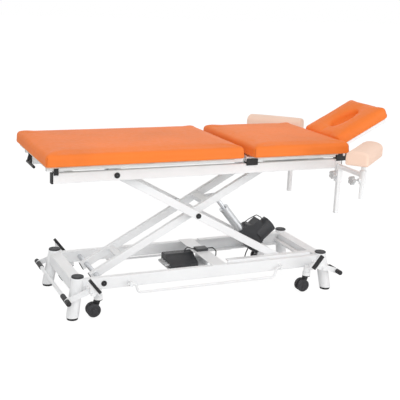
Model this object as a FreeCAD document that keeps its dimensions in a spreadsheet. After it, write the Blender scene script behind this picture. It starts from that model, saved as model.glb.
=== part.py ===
import FreeCAD, Part
import math
import os
import Sketcher

Vector = FreeCAD.Vector
Placement = FreeCAD.Placement
Rotation = FreeCAD.Rotation

X_AXIS = Vector(1, 0, 0)
Y_AXIS = Vector(0, 1, 0)
Z_AXIS = Vector(0, 0, 1)

doc = FreeCAD.newDocument("treatment_table")
sheet = doc.addObject("Spreadsheet::Sheet", "sizes")

SIZES = [
    ("cushion_width", 650),
    ("cushion_thickness", 62),
    ("cushion_corner", 24),
    ("cushion_top_edge", 20),
    ("cushion_low_edge", 12),
    ("long_section_length", 991),
    ("section_gap", 38),
    ("short_section_end", 1588),
    ("board_thickness", 12),
    ("board_inset", 45),
    ("seat_gap", 0.3),
    ("running_gap", 0.05),
    ("leaf_tube", 25),
    ("leaf_tube_offset", 216.5),
    ("leaf_rise", 9),
    ("tube_wall", 2),
    ("tube_corner", 3.5),
    ("rail_outer", 230),
    ("rail_width", 30),
    ("top_rail_height", 50),
    ("top_rail_start", 58),
    ("rail_end_setback", 9),
    ("plug_length", 9),
    ("base_rail_height", 60),
    ("base_rail_bottom", 128),
    ("leg_foot_x", 176),
    ("roller_to_leg", 190),
    ("leg_y", 221),
    ("leg_top", 200),
    ("leg_radius", 30),
    ("leg_splay_x", 31),
    ("leg_splay_y", 23.5),
    ("foot_height", 12),
    ("leg_cap_height", 7),
    ("scissor_angle", 28.7),
    ("lower_arm_half", 585),
    ("upper_arm_half", 520.5),
    ("arm_height", 40),
    ("arm_width", 25),
    ("arm_end", 27),
    ("inner_arm_outer_face", 95),
    ("outer_arm_outer_face", 165),
    ("lower_pivot_x", 305),
    ("lower_pivot_z", 158),
    ("pivot_axle_radius", 12),
    ("centre_axle_radius", 10),
    ("roller_axle_radius", 8),
    ("roller_inner_face", 172),
    ("roller_width", 20),
    ("pivot_cap_radius", 14),
    ("pivot_cap_height", 4),
    ("base_track_start", 980),
    ("track_to_leg", 49),
    ("base_track_top", 200),
    ("top_track_before", 114.5),
    ("top_track_length", 250),
    ("rocker_inset", 44),
    ("rocker_z", 150),
    ("rocker_shaft_radius", 10),
    ("rocker_half_width", 345),
    ("castor_foot_offset", 48),
    ("castor_head_offset", 56),
    ("castor_y", 258),
    ("castor_trail", 25),
    ("castor_radius", 33.5),
    ("castor_centre_z", 42.5),
    ("castor_stem_radius", 10),
    ("bar_offset", 114),
    ("bar_z", 110),
    ("bar_radius", 9),
    ("side_bar_start", 475),
    ("side_bar_end", 1225),
    ("side_bar_y", 253),
    ("side_bar_z", 101),
    ("side_bar_pivot_z", 150),
    ("side_bar_radius", 6),
    ("box_start", 740),
    ("box_length", 160),
    ("box_width", 135),
    ("box_height", 58),
    ("tray_z", 110),
    ("actuator_length", 435.5),
    ("actuator_angle", 129.5),
    ("tail_back", 69),
    ("tail_drop", 8),
    ("actuator_tube_radius", 24),
    ("actuator_rod_radius", 12),
    ("hinge_setback", 17),
    ("hinge_rise", 13),
    ("hinge_radius", 7),
    ("head_hinge_setback", 22),
    ("head_angle", 27.2),
    ("head_pad_start", 20),
    ("head_pad_length", 345),
    ("head_pad_width", 344),
    ("head_pad_thickness", 65),
    ("head_pad_bottom", 17),
    ("head_pad_corner", 26),
    ("head_slot_length", 180),
    ("head_slot_width", 96),
    ("head_shaft_radius", 8),
    ("lever_x", 38),
    ("lever_rise", 16),
    ("armrest_setback", 33),
    ("armrest_socket_y", 250),
    ("armrest_pad_y", 464),
    ("armrest_pad_length", 332),
    ("armrest_pad_width", 120),
    ("armrest_pad_side", 42),
    ("armrest_pad_height", 80),
    ("armrest_pad_drop", 8),
    ("armrest_pad_angle", 42),
    ("post_width", 20),
    ("post_below_rail", 239),
    ("post_above_rail", 26),
    ("socket_width", 30),
    ("knob_radius", 22),
    ("knob_thickness", 18),
]

for row, (alias, number) in enumerate(SIZES, start=1):
    sheet.set("A%d" % row, alias)
    sheet.set("B%d" % row, str(number))
    sheet.setAlias("B%d" % row, alias)
doc.recompute()


class Size:
    """A value that keeps its number and its sheet expression together."""

    def __init__(self, number, text):
        self.number = float(number)
        self.text = text

    def joined(self, other, number, sign):
        """Return a new size for self SIGN other."""
        return Size(number, "(%s %s %s)" % (self.text, sign, other.text))

    def __add__(self, other):
        other = as_size(other)
        return self.joined(other, self.number + other.number, "+")

    def __radd__(self, other):
        return as_size(other) + self

    def __sub__(self, other):
        other = as_size(other)
        return self.joined(other, self.number - other.number, "-")

    def __rsub__(self, other):
        return as_size(other) - self

    def __mul__(self, other):
        other = as_size(other)
        return self.joined(other, self.number * other.number, "*")

    def __rmul__(self, other):
        return as_size(other) * self

    def __truediv__(self, other):
        other = as_size(other)
        return self.joined(other, self.number / other.number, "/")

    def __neg__(self):
        return Size(-self.number, "(0 - %s)" % self.text)


def as_size(value):
    """Turn a plain number into a size, and leave a size as it is."""
    if isinstance(value, Size):
        return value
    if value < 0:
        return Size(value, "(0 - %.10g)" % -value)
    return Size(value, "%.10g" % value)


def sine(angle):
    """Sine of an angle in degrees."""
    return Size(math.sin(math.radians(angle.number)), "sin(%s)" % angle.text)


def cosine(angle):
    """Cosine of an angle in degrees."""
    return Size(math.cos(math.radians(angle.number)), "cos(%s)" % angle.text)


class Named:
    """Holds one size for each named cell of the sheet."""


s = Named()
for alias, _ in SIZES:
    setattr(s, alias, Size(float(sheet.get(alias)), "sizes.%s" % alias))

# Lengthwise places that follow the cushions.
s.hinge_x = s.long_section_length + s.hinge_setback
s.head_hinge_x = s.short_section_end + s.head_hinge_setback
s.top_rail_end = s.head_hinge_x - s.rail_end_setback
s.armrest_x = s.head_hinge_x - s.armrest_setback

head_reach = s.head_pad_start + s.head_pad_length - s.cushion_low_edge
head_low = s.head_pad_bottom + s.cushion_low_edge
overall = (s.head_hinge_x + head_reach * cosine(s.head_angle)
           - head_low * sine(s.head_angle) + s.cushion_low_edge)
shift = overall / 2


def put(item, x, y, z, axis=None, angle=None):
    """Place an item, with its position bound to the sheet."""
    x, y, z = as_size(x), as_size(y), as_size(z)
    turn = Rotation()
    if axis is not None:
        angle = as_size(angle)
        turn = Rotation(axis, angle.number)
    item.Placement = Placement(Vector(x.number, y.number, z.number), turn)
    item.setExpression("Placement.Base.x", x.text)
    item.setExpression("Placement.Base.y", y.text)
    item.setExpression("Placement.Base.z", z.text)
    if axis is not None:
        item.setExpression("Placement.Rotation.Angle", angle.text)
    return item


def place(item, x, y, z, axis=None, angle=None):
    """Place an item whose X is measured from the foot end."""
    return put(item, as_size(x) - shift, y, z, axis, angle)


def block(name, x0, x1, y0, y1, z0, z1, local=False):
    """A box between six bounds."""
    x0, x1, y0, y1, z0, z1 = [as_size(v) for v in (x0, x1, y0, y1, z0, z1)]
    item = doc.addObject("Part::Box", name)
    item.Label = name
    item.setExpression("Length", (x1 - x0).text)
    item.setExpression("Width", (y1 - y0).text)
    item.setExpression("Height", (z1 - z0).text)
    return put(item, x0, y0, z0) if local else place(item, x0, y0, z0)


def rod(name, radius, length, x, y, z, axis, local=False):
    """A cylinder that starts at a point and runs along an axis."""
    item = doc.addObject("Part::Cylinder", name)
    item.Label = name
    item.setExpression("Radius", as_size(radius).text)
    item.setExpression("Height", as_size(length).text)
    turns = {"X": (Y_AXIS, 90), "Y": (X_AXIS, -90), "Z": (None, None)}
    around, angle = turns[axis]
    if local:
        return put(item, x, y, z, around, angle)
    return place(item, x, y, z, around, angle)


def fused(name, items):
    """Join overlapping or touching items into one solid."""
    item = doc.addObject("Part::MultiFuse", name)
    item.Label = name
    item.Shapes = items
    item.Refine = True
    return item


def carved(name, base, tools):
    """Take one or more tools out of a base item."""
    tool = tools[0]
    if len(tools) > 1:
        tool = doc.addObject("Part::Compound", name + "_tools")
        tool.Links = tools
    item = doc.addObject("Part::Cut", name)
    item.Label = name
    item.Base = base
    item.Tool = tool
    return item


def mirrored(name, source):
    """Mirror an item to the other side of the table."""
    item = doc.addObject("Part::Mirroring", name)
    item.Label = name
    item.Source = source
    item.Normal = Y_AXIS
    item.Base = Vector(0, 0, 0)
    return item


def grouped(name, items):
    """Keep several separate solids as one part."""
    item = doc.addObject("Part::Compound", name)
    item.Label = name
    item.Links = items
    return item


def both_sides(name, near):
    """The near item and its mirror image as one part."""
    return grouped(name, [near, mirrored(near.Name + "_mirrored", near)])


def new_body(name):
    """A body that sketches and features are added to."""
    body = doc.addObject("PartDesign::Body", name)
    body.Label = name
    return body


def origin_part(body, role):
    """The origin plane or axis of a body with the given role."""
    return [f for f in body.Origin.OriginFeatures if f.Role == role][0]


def new_sketch(body, name, role, offset=None):
    """A sketch on one of the body's origin planes."""
    sketch = body.newObject("Sketcher::SketchObject", name)
    sketch.AttachmentSupport = [(origin_part(body, role), "")]
    sketch.MapMode = "FlatFace"
    if offset is not None:
        sketch.AttachmentOffset = Placement(Vector(0, 0, offset.number), Rotation())
        sketch.setExpression("AttachmentOffset.Base.z", offset.text)
    return sketch


def hold(sketch, kind, geometry, point, size):
    """Bind one coordinate of a sketch point to a size."""
    number = sketch.addConstraint(
        Sketcher.Constraint(kind, -1, 1, geometry, point, size.number))
    sketch.setExpression("Constraints[%d]" % number, size.text)


def polygon(sketch, points):
    """A closed outline through points given as pairs of sizes."""
    points = [(as_size(u), as_size(v)) for u, v in points]
    first = sketch.GeometryCount
    count = len(points)
    for i in range(count):
        a = points[i]
        b = points[(i + 1) % count]
        start = Vector(a[0].number, a[1].number, 0)
        end = Vector(b[0].number, b[1].number, 0)
        sketch.addGeometry(Part.LineSegment(start, end), False)
    for i in range(count):
        following = first + (i + 1) % count
        sketch.addConstraint(
            Sketcher.Constraint("Coincident", first + i, 2, following, 1))
    for i, (u, v) in enumerate(points):
        hold(sketch, "DistanceX", first + i, 1, u)
        hold(sketch, "DistanceY", first + i, 1, v)


def circle(sketch, u, v, radius):
    """A circle with its centre and radius bound to sizes."""
    u, v, radius = as_size(u), as_size(v), as_size(radius)
    middle = Vector(u.number, v.number, 0)
    index = sketch.addGeometry(Part.Circle(middle, Z_AXIS, radius.number), False)
    number = sketch.addConstraint(
        Sketcher.Constraint("Radius", index, radius.number))
    sketch.setExpression("Constraints[%d]" % number, radius.text)
    hold(sketch, "DistanceX", index, 3, u)
    hold(sketch, "DistanceY", index, 3, v)


def padded(body, name, sketch, length, symmetric=False, backward=False):
    """Extrude a sketch into material."""
    feature = body.newObject("PartDesign::Pad", name)
    feature.Profile = sketch
    feature.setExpression("Length", as_size(length).text)
    if symmetric:
        feature.SideType = "Symmetric"
    feature.Reversed = backward
    sketch.Visibility = False
    return feature


def pocketed(body, name, sketch, backward=True):
    """Cut a sketch right through the material."""
    feature = body.newObject("PartDesign::Pocket", name)
    feature.Profile = sketch
    feature.Type = "ThroughAll"
    feature.Reversed = backward
    sketch.Visibility = False
    return feature


def rounded(body, name, radius, choose):
    """Round the edges of the body's last feature that a test picks."""
    doc.recompute()
    feature = body.Tip
    names = ["Edge%d" % (i + 1) for i, edge in enumerate(feature.Shape.Edges)
             if choose(edge)]
    fillet = body.newObject("PartDesign::Fillet", name)
    fillet.Base = (feature, names)
    fillet.setExpression("Radius", as_size(radius).text)
    return fillet


def runs_along(axis):
    """A test for straight edges that run along an axis."""
    def test(edge):
        if len(edge.Vertexes) != 2:
            return False
        way = edge.Vertexes[1].Point - edge.Vertexes[0].Point
        return way.Length > 0.1 and abs(way.dot(axis)) > 0.999 * way.Length
    return test


def at_height(height):
    """A test for edges that lie whole at one height of the body."""
    def test(edge):
        box = edge.BoundBox
        return abs(box.ZMin - height) < 0.01 and abs(box.ZMax - height) < 0.01
    return test


def rectangle(sketch, width, height):
    """A rectangle around the sketch origin."""
    half_width = as_size(width) / 2
    half_height = as_size(height) / 2
    polygon(sketch, [(-half_width, -half_height), (half_width, -half_height),
                     (half_width, half_height), (-half_width, half_height)])


def tube(name, length, width, height, x, y, z, axis=None, angle=None, local=False):
    """A rectangular tube with rounded corners that runs along its own X."""
    body = new_body(name)
    outer = new_sketch(body, name + "_outside", "YZ_Plane")
    rectangle(outer, width, height)
    padded(body, name + "_run", outer, length)
    rounded(body, name + "_corners", s.tube_corner, runs_along(X_AXIS))
    inner = new_sketch(body, name + "_inside", "YZ_Plane")
    rectangle(inner, as_size(width) - s.tube_wall * 2, as_size(height) - s.tube_wall * 2)
    pocketed(body, name + "_hollow", inner)
    if local:
        return put(body, x, y, z, axis, angle)
    return place(body, x, y, z, axis, angle)


def cross_tube(name, half_length, width, height, x, z, local=False, angle=None):
    """A rectangular tube that runs across the table."""
    item = tube(name, half_length * 2, width, height, 0, -half_length, 0,
                Z_AXIS, 90, local=True)
    holder = doc.addObject("Part::Compound", name + "_placed")
    holder.Links = [item]
    if angle is None:
        return put(holder, x, 0, z) if local else place(holder, x, 0, z)
    if local:
        return put(holder, x, 0, z, Y_AXIS, angle)
    return place(holder, x, 0, z, Y_AXIS, angle)


def profile_plate(name, points, y_high, thickness, local=False):
    """A plate with an outline in X and Z and a thickness along Y."""
    body = new_body(name)
    sketch = new_sketch(body, name + "_outline", "XZ_Plane")
    polygon(sketch, points)
    padded(body, name + "_run", sketch, thickness)
    return put(body, 0, y_high, 0) if local else place(body, 0, y_high, 0)


def profile_bar(name, points, x_low, length):
    """A bar with an outline in Y and Z and a length along X."""
    body = new_body(name)
    sketch = new_sketch(body, name + "_outline", "YZ_Plane")
    polygon(sketch, points)
    padded(body, name + "_run", sketch, length)
    return place(body, x_low, 0, 0)


def disc_cap(name, radius, height, edge, x, y, z, axis, angle):
    """A round cap with a rounded rim."""
    body = new_body(name)
    sketch = new_sketch(body, name + "_circle", "XY_Plane")
    circle(sketch, 0, 0, radius)
    padded(body, name + "_disc", sketch, height)
    rounded(body, name + "_rim", edge, at_height(as_size(height).number))
    return place(body, x, y, z, axis, angle)


def swept(name, points, radius, bend):
    """A round bar or cord along straight runs joined by tangent arcs."""
    path = [Vector(*p) for p in points]
    edges = []
    start = path[0]
    for i in range(1, len(path) - 1):
        before = (path[i - 1] - path[i]).normalize()
        after = (path[i + 1] - path[i]).normalize()
        half = (math.pi - before.getAngle(after)) / 2
        shorter = min((path[i - 1] - path[i]).Length, (path[i + 1] - path[i]).Length)
        arc = min(bend, 0.45 * shorter / math.tan(half))
        trim = arc * math.tan(half)
        a = path[i] + before * trim
        b = path[i] + after * trim
        middle = (before + after).normalize()
        reach = arc / math.cos(half) - arc
        edges.append(Part.makeLine(start, a))
        edges.append(Part.Arc(a, path[i] + middle * reach, b).toShape())
        start = b
    edges.append(Part.makeLine(start, path[-1]))
    wire = Part.Wire(edges)
    way = (path[1] - path[0]).normalize()
    ring = Part.Wire([Part.makeCircle(radius, path[0], way)])
    shape = wire.makePipeShell([ring], True, False)
    item = doc.addObject("Part::Feature", name)
    item.Label = name
    item.Shape = shape
    item.Placement = Placement(Vector(0, 0, 0), Rotation())
    print("%s: length %.0f mm, section x length %.0f mm3, volume %.0f mm3" % (
        name, wire.Length, math.pi * radius * radius * wire.Length, item.Shape.Volume))
    return item


NODES = {}


def node(item, name):
    """Record an item as a part of the assembly."""
    item.Label = name
    NODES[name] = item
    return item


rail_middle = s.rail_outer - s.rail_width / 2
rail_inner = s.rail_outer - s.rail_width
base_rail_top = s.base_rail_bottom + s.base_rail_height
base_rail_middle = s.base_rail_bottom + s.base_rail_height / 2
running = s.running_gap

# Scissor points, measured along X from the foot end.
arm_cos = cosine(s.scissor_angle)
arm_sin = sine(s.scissor_angle)
centre_x = s.lower_pivot_x + s.lower_arm_half * arm_cos
centre_z = s.lower_pivot_z + s.lower_arm_half * arm_sin
upper_pivot_x = centre_x - s.upper_arm_half * arm_cos
upper_pivot_z = centre_z + s.upper_arm_half * arm_sin
lower_roller_x = centre_x + s.lower_arm_half * arm_cos
lower_roller_z = centre_z - s.lower_arm_half * arm_sin
upper_roller_x = centre_x + s.upper_arm_half * arm_cos
upper_roller_z = centre_z + s.upper_arm_half * arm_sin

# The base ends past the lower rollers, and the top rides on the upper pivot.
s.leg_head_x = lower_roller_x + s.roller_to_leg
s.rocker_foot_x = s.leg_foot_x + s.rocker_inset
s.rocker_head_x = s.leg_head_x - s.rocker_inset
top_rail_middle = upper_pivot_z
rail_low = upper_pivot_z - s.top_rail_height / 2
top_rail_top = rail_low + s.top_rail_height
s.leaf_tube_bottom = top_rail_top + s.leaf_rise
s.cushion_bottom = s.leaf_tube_bottom + s.leaf_tube + s.board_thickness
s.hinge_z = s.leaf_tube_bottom + s.hinge_rise
s.head_hinge_z = s.hinge_z
s.lever_z = s.leaf_tube_bottom + s.lever_rise
s.armrest_pad_bottom = s.cushion_bottom - s.armrest_pad_drop


# Legs: each stands on a rubber foot and leans outward towards the floor.
def leg(name, top_x, way):
    body = new_body(name)
    low = new_sketch(body, name + "_low", "XY_Plane", s.foot_height)
    circle(low, top_x + s.leg_splay_x * way, -(s.leg_y + s.leg_splay_y), s.leg_radius)
    high = new_sketch(body, name + "_high", "XY_Plane", s.leg_top)
    circle(high, top_x, -s.leg_y, s.leg_radius)
    loft = body.newObject("PartDesign::AdditiveLoft", name + "_loft")
    loft.Profile = low
    loft.Sections = [high]
    return place(body, 0, 0, 0)


leg_foot = leg("leg_foot_near", s.leg_foot_x, -1)
leg_head = leg("leg_head_near", s.leg_head_x, 1)
leg_foot_far = mirrored("leg_foot_far", leg_foot)
leg_head_far = mirrored("leg_head_far", leg_head)
node(grouped("legs", [leg_foot, leg_head, leg_foot_far, leg_head_far]), "legs")


def rubber_foot(name, top_x, way):
    item = doc.addObject("Part::Cone", name)
    item.setExpression("Radius1", (s.leg_radius - 4).text)
    item.setExpression("Radius2", (s.leg_radius - 1).text)
    item.setExpression("Height", s.foot_height.text)
    return place(item, top_x + s.leg_splay_x * way, -(s.leg_y + s.leg_splay_y), 0)


foot_a = rubber_foot("rubber_foot_a", s.leg_foot_x, -1)
foot_b = rubber_foot("rubber_foot_b", s.leg_head_x, 1)
node(grouped("rubber_feet", [foot_a, foot_b, mirrored("rubber_foot_c", foot_a),
                             mirrored("rubber_foot_d", foot_b)]), "rubber_feet")

cap_a = disc_cap("leg_cap_a", s.leg_radius, s.leg_cap_height, 3,
                 s.leg_foot_x, -s.leg_y, s.leg_top, None, None)
cap_b = disc_cap("leg_cap_b", s.leg_radius, s.leg_cap_height, 3,
                 s.leg_head_x, -s.leg_y, s.leg_top, None, None)
cap_c = disc_cap("base_pivot_cap", s.pivot_cap_radius, s.pivot_cap_height, 1.5,
                 s.lower_pivot_x, -s.rail_outer, s.lower_pivot_z, X_AXIS, 90)
node(grouped("base_caps", [cap_a, cap_b, cap_c, mirrored("leg_cap_c", cap_a),
                           mirrored("leg_cap_d", cap_b),
                           mirrored("base_pivot_cap_far", cap_c)]), "base_caps")

# Base rails run between the legs and carry the roller tracks.
base_rail = tube("base_rail_tube", s.leg_head_x - s.leg_foot_x, s.rail_width,
                 s.base_rail_height, s.leg_foot_x, -rail_middle, base_rail_middle)
track_in = s.roller_inner_face - 4
base_track = profile_bar("base_track", [
    (-rail_inner, s.base_rail_bottom), (-track_in, s.base_rail_bottom),
    (-track_in, s.base_rail_bottom + 8), (-rail_inner + 6, s.base_rail_bottom + 8),
    (-rail_inner + 6, s.base_track_top - 6), (-track_in, s.base_track_top - 6),
    (-track_in, s.base_track_top), (-rail_inner, s.base_track_top)],
    s.base_track_start, s.leg_head_x - s.track_to_leg - s.base_track_start)
bracket_front = s.side_bar_start - 47
bracket_back = s.side_bar_end + 35
bracket_low = s.side_bar_pivot_z - 12
bracket_a = block("bar_bracket_a", bracket_front, bracket_front + 12, -(s.side_bar_y + 12),
                  -s.rail_outer, bracket_low, bracket_low + 24)
bracket_b = block("bar_bracket_b", bracket_back, bracket_back + 12, -(s.side_bar_y + 12),
                  -s.rail_outer, bracket_low, bracket_low + 24)
rail_with_track = fused("base_rail_with_track", [base_rail, base_track, bracket_a, bracket_b])
shaft_hole_a = rod("rocker_hole_foot", s.rocker_shaft_radius + running, s.rail_width + 14,
                   s.rocker_foot_x, -s.rail_outer - 2, s.rocker_z, "Y")
shaft_hole_b = rod("rocker_hole_head", s.rocker_shaft_radius + running, s.rail_width + 14,
                   s.rocker_head_x, -s.rail_outer - 2, s.rocker_z, "Y")
pin_hole_a = rod("bar_hole_a", s.side_bar_radius + running, 16, bracket_front - 2,
                 -s.side_bar_y, s.side_bar_pivot_z, "X")
pin_hole_b = rod("bar_hole_b", s.side_bar_radius + running, 16, bracket_back - 2,
                 -s.side_bar_y, s.side_bar_pivot_z, "X")
base_rail_near = carved("base_rail_near", rail_with_track,
                        [leg_foot, leg_head, shaft_hole_a, shaft_hole_b,
                         pin_hole_a, pin_hole_b])
node(both_sides("base_rails", base_rail_near), "base_rails")

cross_foot = cross_tube("base_cross_foot", rail_inner, s.base_rail_height,
                        s.base_rail_height, s.leg_foot_x, base_rail_middle)
cross_head = cross_tube("base_cross_head", rail_inner, s.base_rail_height,
                        s.base_rail_height, s.leg_head_x, base_rail_middle)
cross_foot_cut = carved("base_cross_foot_coped", cross_foot, [leg_foot, leg_foot_far])
cross_head_cut = carved("base_cross_head_coped", cross_head, [leg_head, leg_head_far])
base_crosses = [cross_foot_cut, cross_head_cut]

node(rod("lower_pivot_axle", s.pivot_axle_radius, rail_inner * 2, s.lower_pivot_x,
         -rail_inner, s.lower_pivot_z, "Y"), "lower_pivot_axle")

# Cross plate over the rails with the tray for the control box.
tray_end = s.box_start + s.box_length + 50
cross_plate = block("cross_plate", 880, 960, -s.rail_outer, s.rail_outer,
                    base_rail_top, base_rail_top + 3)
tray_wall = block("tray_wall", tray_end - 3, tray_end, -20, 145,
                  s.tray_z - 3, base_rail_top)
tray_plate = block("tray_plate", s.box_start - 10, tray_end, -20, 145,
                   s.tray_z - 3, s.tray_z)
tray = fused("base_tray_plates", [cross_plate, tray_wall, tray_plate])
node(grouped("base_cross_members", base_crosses + [tray]), "base_cross_members")

box_end = s.box_start + s.box_length
box_near = as_size(-5)
box_far = box_near + s.box_width
box_body = new_body("control_case")
box_sketch = new_sketch(box_body, "control_case_outline", "YZ_Plane")
polygon(box_sketch, [
    (box_near, s.tray_z), (box_far, s.tray_z), (box_far, s.tray_z + s.box_height * 0.78),
    (box_far - 14, s.tray_z + s.box_height), (box_far - 58, s.tray_z + s.box_height),
    (box_far - 72, s.tray_z + s.box_height * 0.84), (box_near + 6, s.tray_z + s.box_height * 0.4),
    (box_near, s.tray_z + s.box_height * 0.3)])
padded(box_body, "control_case_run", box_sketch, s.box_length)
rounded(box_body, "control_case_edges", 3, runs_along(X_AXIS))
place(box_body, s.box_start, 0, 0)
switch_body = block("bar_switch", 891, 956, -2, 45, base_rail_top + 3, base_rail_top + 18)
node(grouped("control_box", [box_body, switch_body]), "control_box")

plugs = [rod("control_plug_%d" % i, 7, 24, s.box_start - 24, 15 + 30 * i, s.tray_z + 17, "X")
         for i in range(4)]
node(grouped("control_plugs", plugs), "control_plugs")

# Side foot bars swing on short pins in the rail brackets.
bar_x0 = (s.side_bar_start - shift).number
bar_x1 = (s.side_bar_end - shift).number
bar_y = s.side_bar_y.number
bar_z = s.side_bar_z.number
bar_top = s.side_bar_pivot_z.number
bar_points = [(bar_x0 - 57, -bar_y, bar_top), (bar_x0 - 18, -bar_y, bar_top),
              (bar_x0, -bar_y, bar_z), (bar_x1, -bar_y, bar_z),
              (bar_x1 + 18, -bar_y, bar_top), (bar_x1 + 57, -bar_y, bar_top)]
foot_bar_near = swept("foot_bar_near", bar_points, s.side_bar_radius.number, 18)
node(foot_bar_near, "foot_bar_near")
node(mirrored("foot_bar_far", foot_bar_near), "foot_bar_far")


# Castor rockers: a shaft through the rails with castor arms, bar arms and pedals.
def rocker(name, shaft_x, way, castor_offset):
    z = s.rocker_z
    half = s.rocker_half_width
    shaft = rod(name + "_shaft", s.rocker_shaft_radius, half * 2, shaft_x, -half, z, "Y")
    castor_x = shaft_x + castor_offset * way
    bar_x = shaft_x - s.bar_offset * way
    arm_low = s.bar_z + 3
    arm = profile_plate(name + "_castor_arm", [
        (shaft_x - 14 * way, z + 13), (shaft_x + 12 * way, z + 13),
        (castor_x + 14 * way, arm_low + 27), (castor_x + 14 * way, arm_low),
        (castor_x - 14 * way, arm_low), (shaft_x - 14 * way, z - 14)],
        -(s.castor_y - 4), 8)
    sleeve = rod(name + "_sleeve", 17, 27, castor_x, -s.castor_y, arm_low, "Z")
    sleeve_hole = rod(name + "_sleeve_hole", s.castor_stem_radius + running, 40,
                      castor_x, -s.castor_y, arm_low - 6, "Z")
    plate = profile_plate(name + "_bar_arm", [
        (shaft_x + 5 * way, z - 13), (shaft_x - 5 * way, z + 13),
        (bar_x - 4 * way, s.bar_z + 13), (bar_x - 12 * way, s.bar_z + 4),
        (bar_x - 10 * way, s.bar_z - 8), (bar_x + 5 * way, s.bar_z - 13)], -285, 6)
    web = profile_plate(name + "_web", [
        (shaft_x - 13 - 2 * way, z + 55.6), (shaft_x - 13 + 35.2 * way, z + 7.3),
        (shaft_x + 12 * way, z - 10), (shaft_x - 10 * way, z - 8),
        (shaft_x - 12 * way, z + 10)], -328, 6)
    collar_room = rod(name + "_collar_room", 15, 30, castor_x, -s.castor_y, arm_low + 27, "Z")
    joined_side = fused(name + "_side", [arm, sleeve, plate, web])
    side = carved(name + "_side_bored", joined_side, [sleeve_hole, collar_room])
    bar = rod(name + "_bar", s.bar_radius, 650, bar_x, -325, s.bar_z, "Y")
    whole = fused(name, [shaft, bar, side, mirrored(name + "_side_far", side)])
    node(whole, name)
    grip_radius = s.bar_radius + 3.5
    grips = []
    for label, y_low, length in (("inner", -284, 70), ("outer", -324, 32)):
        sleeve_out = rod(name + "_grip_" + label, grip_radius, length, bar_x, y_low,
                         s.bar_z, "Y")
        sleeve_in = rod(name + "_grip_core_" + label, s.bar_radius, length + 4, bar_x,
                        y_low - 2, s.bar_z, "Y")
        grips.append(carved(name + "_grip_cut_" + label, sleeve_out, [sleeve_in]))
    tread_x = shaft_x - 13
    pedal = profile_plate(name + "_pedal", [
        (tread_x - 9.2 * way, z + 65), (tread_x + 42.4 * way, z - 2),
        (tread_x + 54.3 * way, z + 7.2), (tread_x + 2.7 * way, z + 74.2)], -322, 18)
    grips.append(pedal)
    parts = grips + [mirrored(g.Name + "_far", g) for g in grips]
    node(grouped(name + "_grips", parts), name.replace("castor_rocker", "rocker_grips"))


rocker("castor_rocker_foot", s.rocker_foot_x, 1, s.castor_foot_offset)
rocker("castor_rocker_head", s.rocker_head_x, -1, s.castor_head_offset)


# Castors: a swivel stem with a centre plate between two wheels.
def castor(corner, stem_x, side):
    y = s.castor_y * side
    axle_x = stem_x - s.castor_trail
    axle_z = s.castor_centre_z
    sleeve_low = s.bar_z + 3
    stem = rod("stem_" + corner, s.castor_stem_radius, sleeve_low + 31 - 88, stem_x, y, 88, "Z")
    hood = rod("hood_" + corner, 21, sleeve_low - s.seat_gap - 90, stem_x, y, 90, "Z")
    collar = rod("collar_" + corner, 14, 5, stem_x, y, sleeve_low + 27 + s.seat_gap, "Z")
    web = profile_plate("web_" + corner, [
        (stem_x - 20, 94), (stem_x + 14, 94), (stem_x - 6, axle_z - 4),
        (axle_x + 6, axle_z - 14), (axle_x - 10, axle_z - 11), (axle_x - 14, axle_z + 3)],
        y + 4, 8)
    whole = fused("castor_fork_%s_whole" % corner, [stem, hood, collar, web])
    hole = rod("axle_hole_" + corner, 5 + running, 20, axle_x, y - 10, axle_z, "Y")
    node(carved("castor_fork_" + corner, whole, [hole]), "castor_fork_" + corner)
    body = new_body("castor_wheel_" + corner)
    sketch = new_sketch(body, "wheel_profile_" + corner, "XY_Plane")
    radius = s.castor_radius
    polygon(sketch, [
        (0, -25), (radius * 0.3, -25), (radius * 0.36, -22), (radius * 0.66, -22),
        (radius * 0.72, -25), (radius - 5, -25), (radius, -20), (radius, -9),
        (radius - 4, -5), (5, -5), (5, 5), (radius - 4, 5), (radius, 9), (radius, 20),
        (radius - 5, 25), (radius * 0.72, 25), (radius * 0.66, 22), (radius * 0.36, 22),
        (radius * 0.3, 25), (0, 25)])
    turn = body.newObject("PartDesign::Revolution", "wheel_turn_" + corner)
    turn.Profile = sketch
    turn.ReferenceAxis = (sketch, ["V_Axis"])
    turn.Angle = 360
    node(place(body, axle_x, y, axle_z), "castor_wheel_" + corner)


castor("foot_near", s.rocker_foot_x + s.castor_foot_offset, -1)
castor("foot_far", s.rocker_foot_x + s.castor_foot_offset, 1)
castor("head_near", s.rocker_head_x - s.castor_head_offset, -1)
castor("head_far", s.rocker_head_x - s.castor_head_offset, 1)

# Inner arms rise from the lower pivot to the upper roller.
whole_arm = s.lower_arm_half + s.upper_arm_half + s.arm_end * 2
inner_y = s.inner_arm_outer_face - s.arm_width / 2
outer_y = s.outer_arm_outer_face - s.arm_width / 2


def arm_hole(name, radius, x, z, outer_face):
    return rod(name, radius, s.arm_width + 4, x, -outer_face - 2, z, "Y")


inner_tube = tube("inner_arm_tube", whole_arm, s.arm_width, s.arm_height,
                  s.lower_pivot_x - s.arm_end * arm_cos, -inner_y,
                  s.lower_pivot_z - s.arm_end * arm_sin, Y_AXIS, -s.scissor_angle)
inner_arm = carved("inner_arm_near", inner_tube, [
    arm_hole("inner_hole_low", s.pivot_axle_radius + running, s.lower_pivot_x,
             s.lower_pivot_z, s.inner_arm_outer_face),
    arm_hole("inner_hole_centre", s.centre_axle_radius, centre_x, centre_z,
             s.inner_arm_outer_face),
    arm_hole("inner_hole_high", s.roller_axle_radius + running, upper_roller_x,
             upper_roller_z, s.inner_arm_outer_face)])
node(both_sides("inner_arms", inner_arm), "inner_arms")

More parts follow.
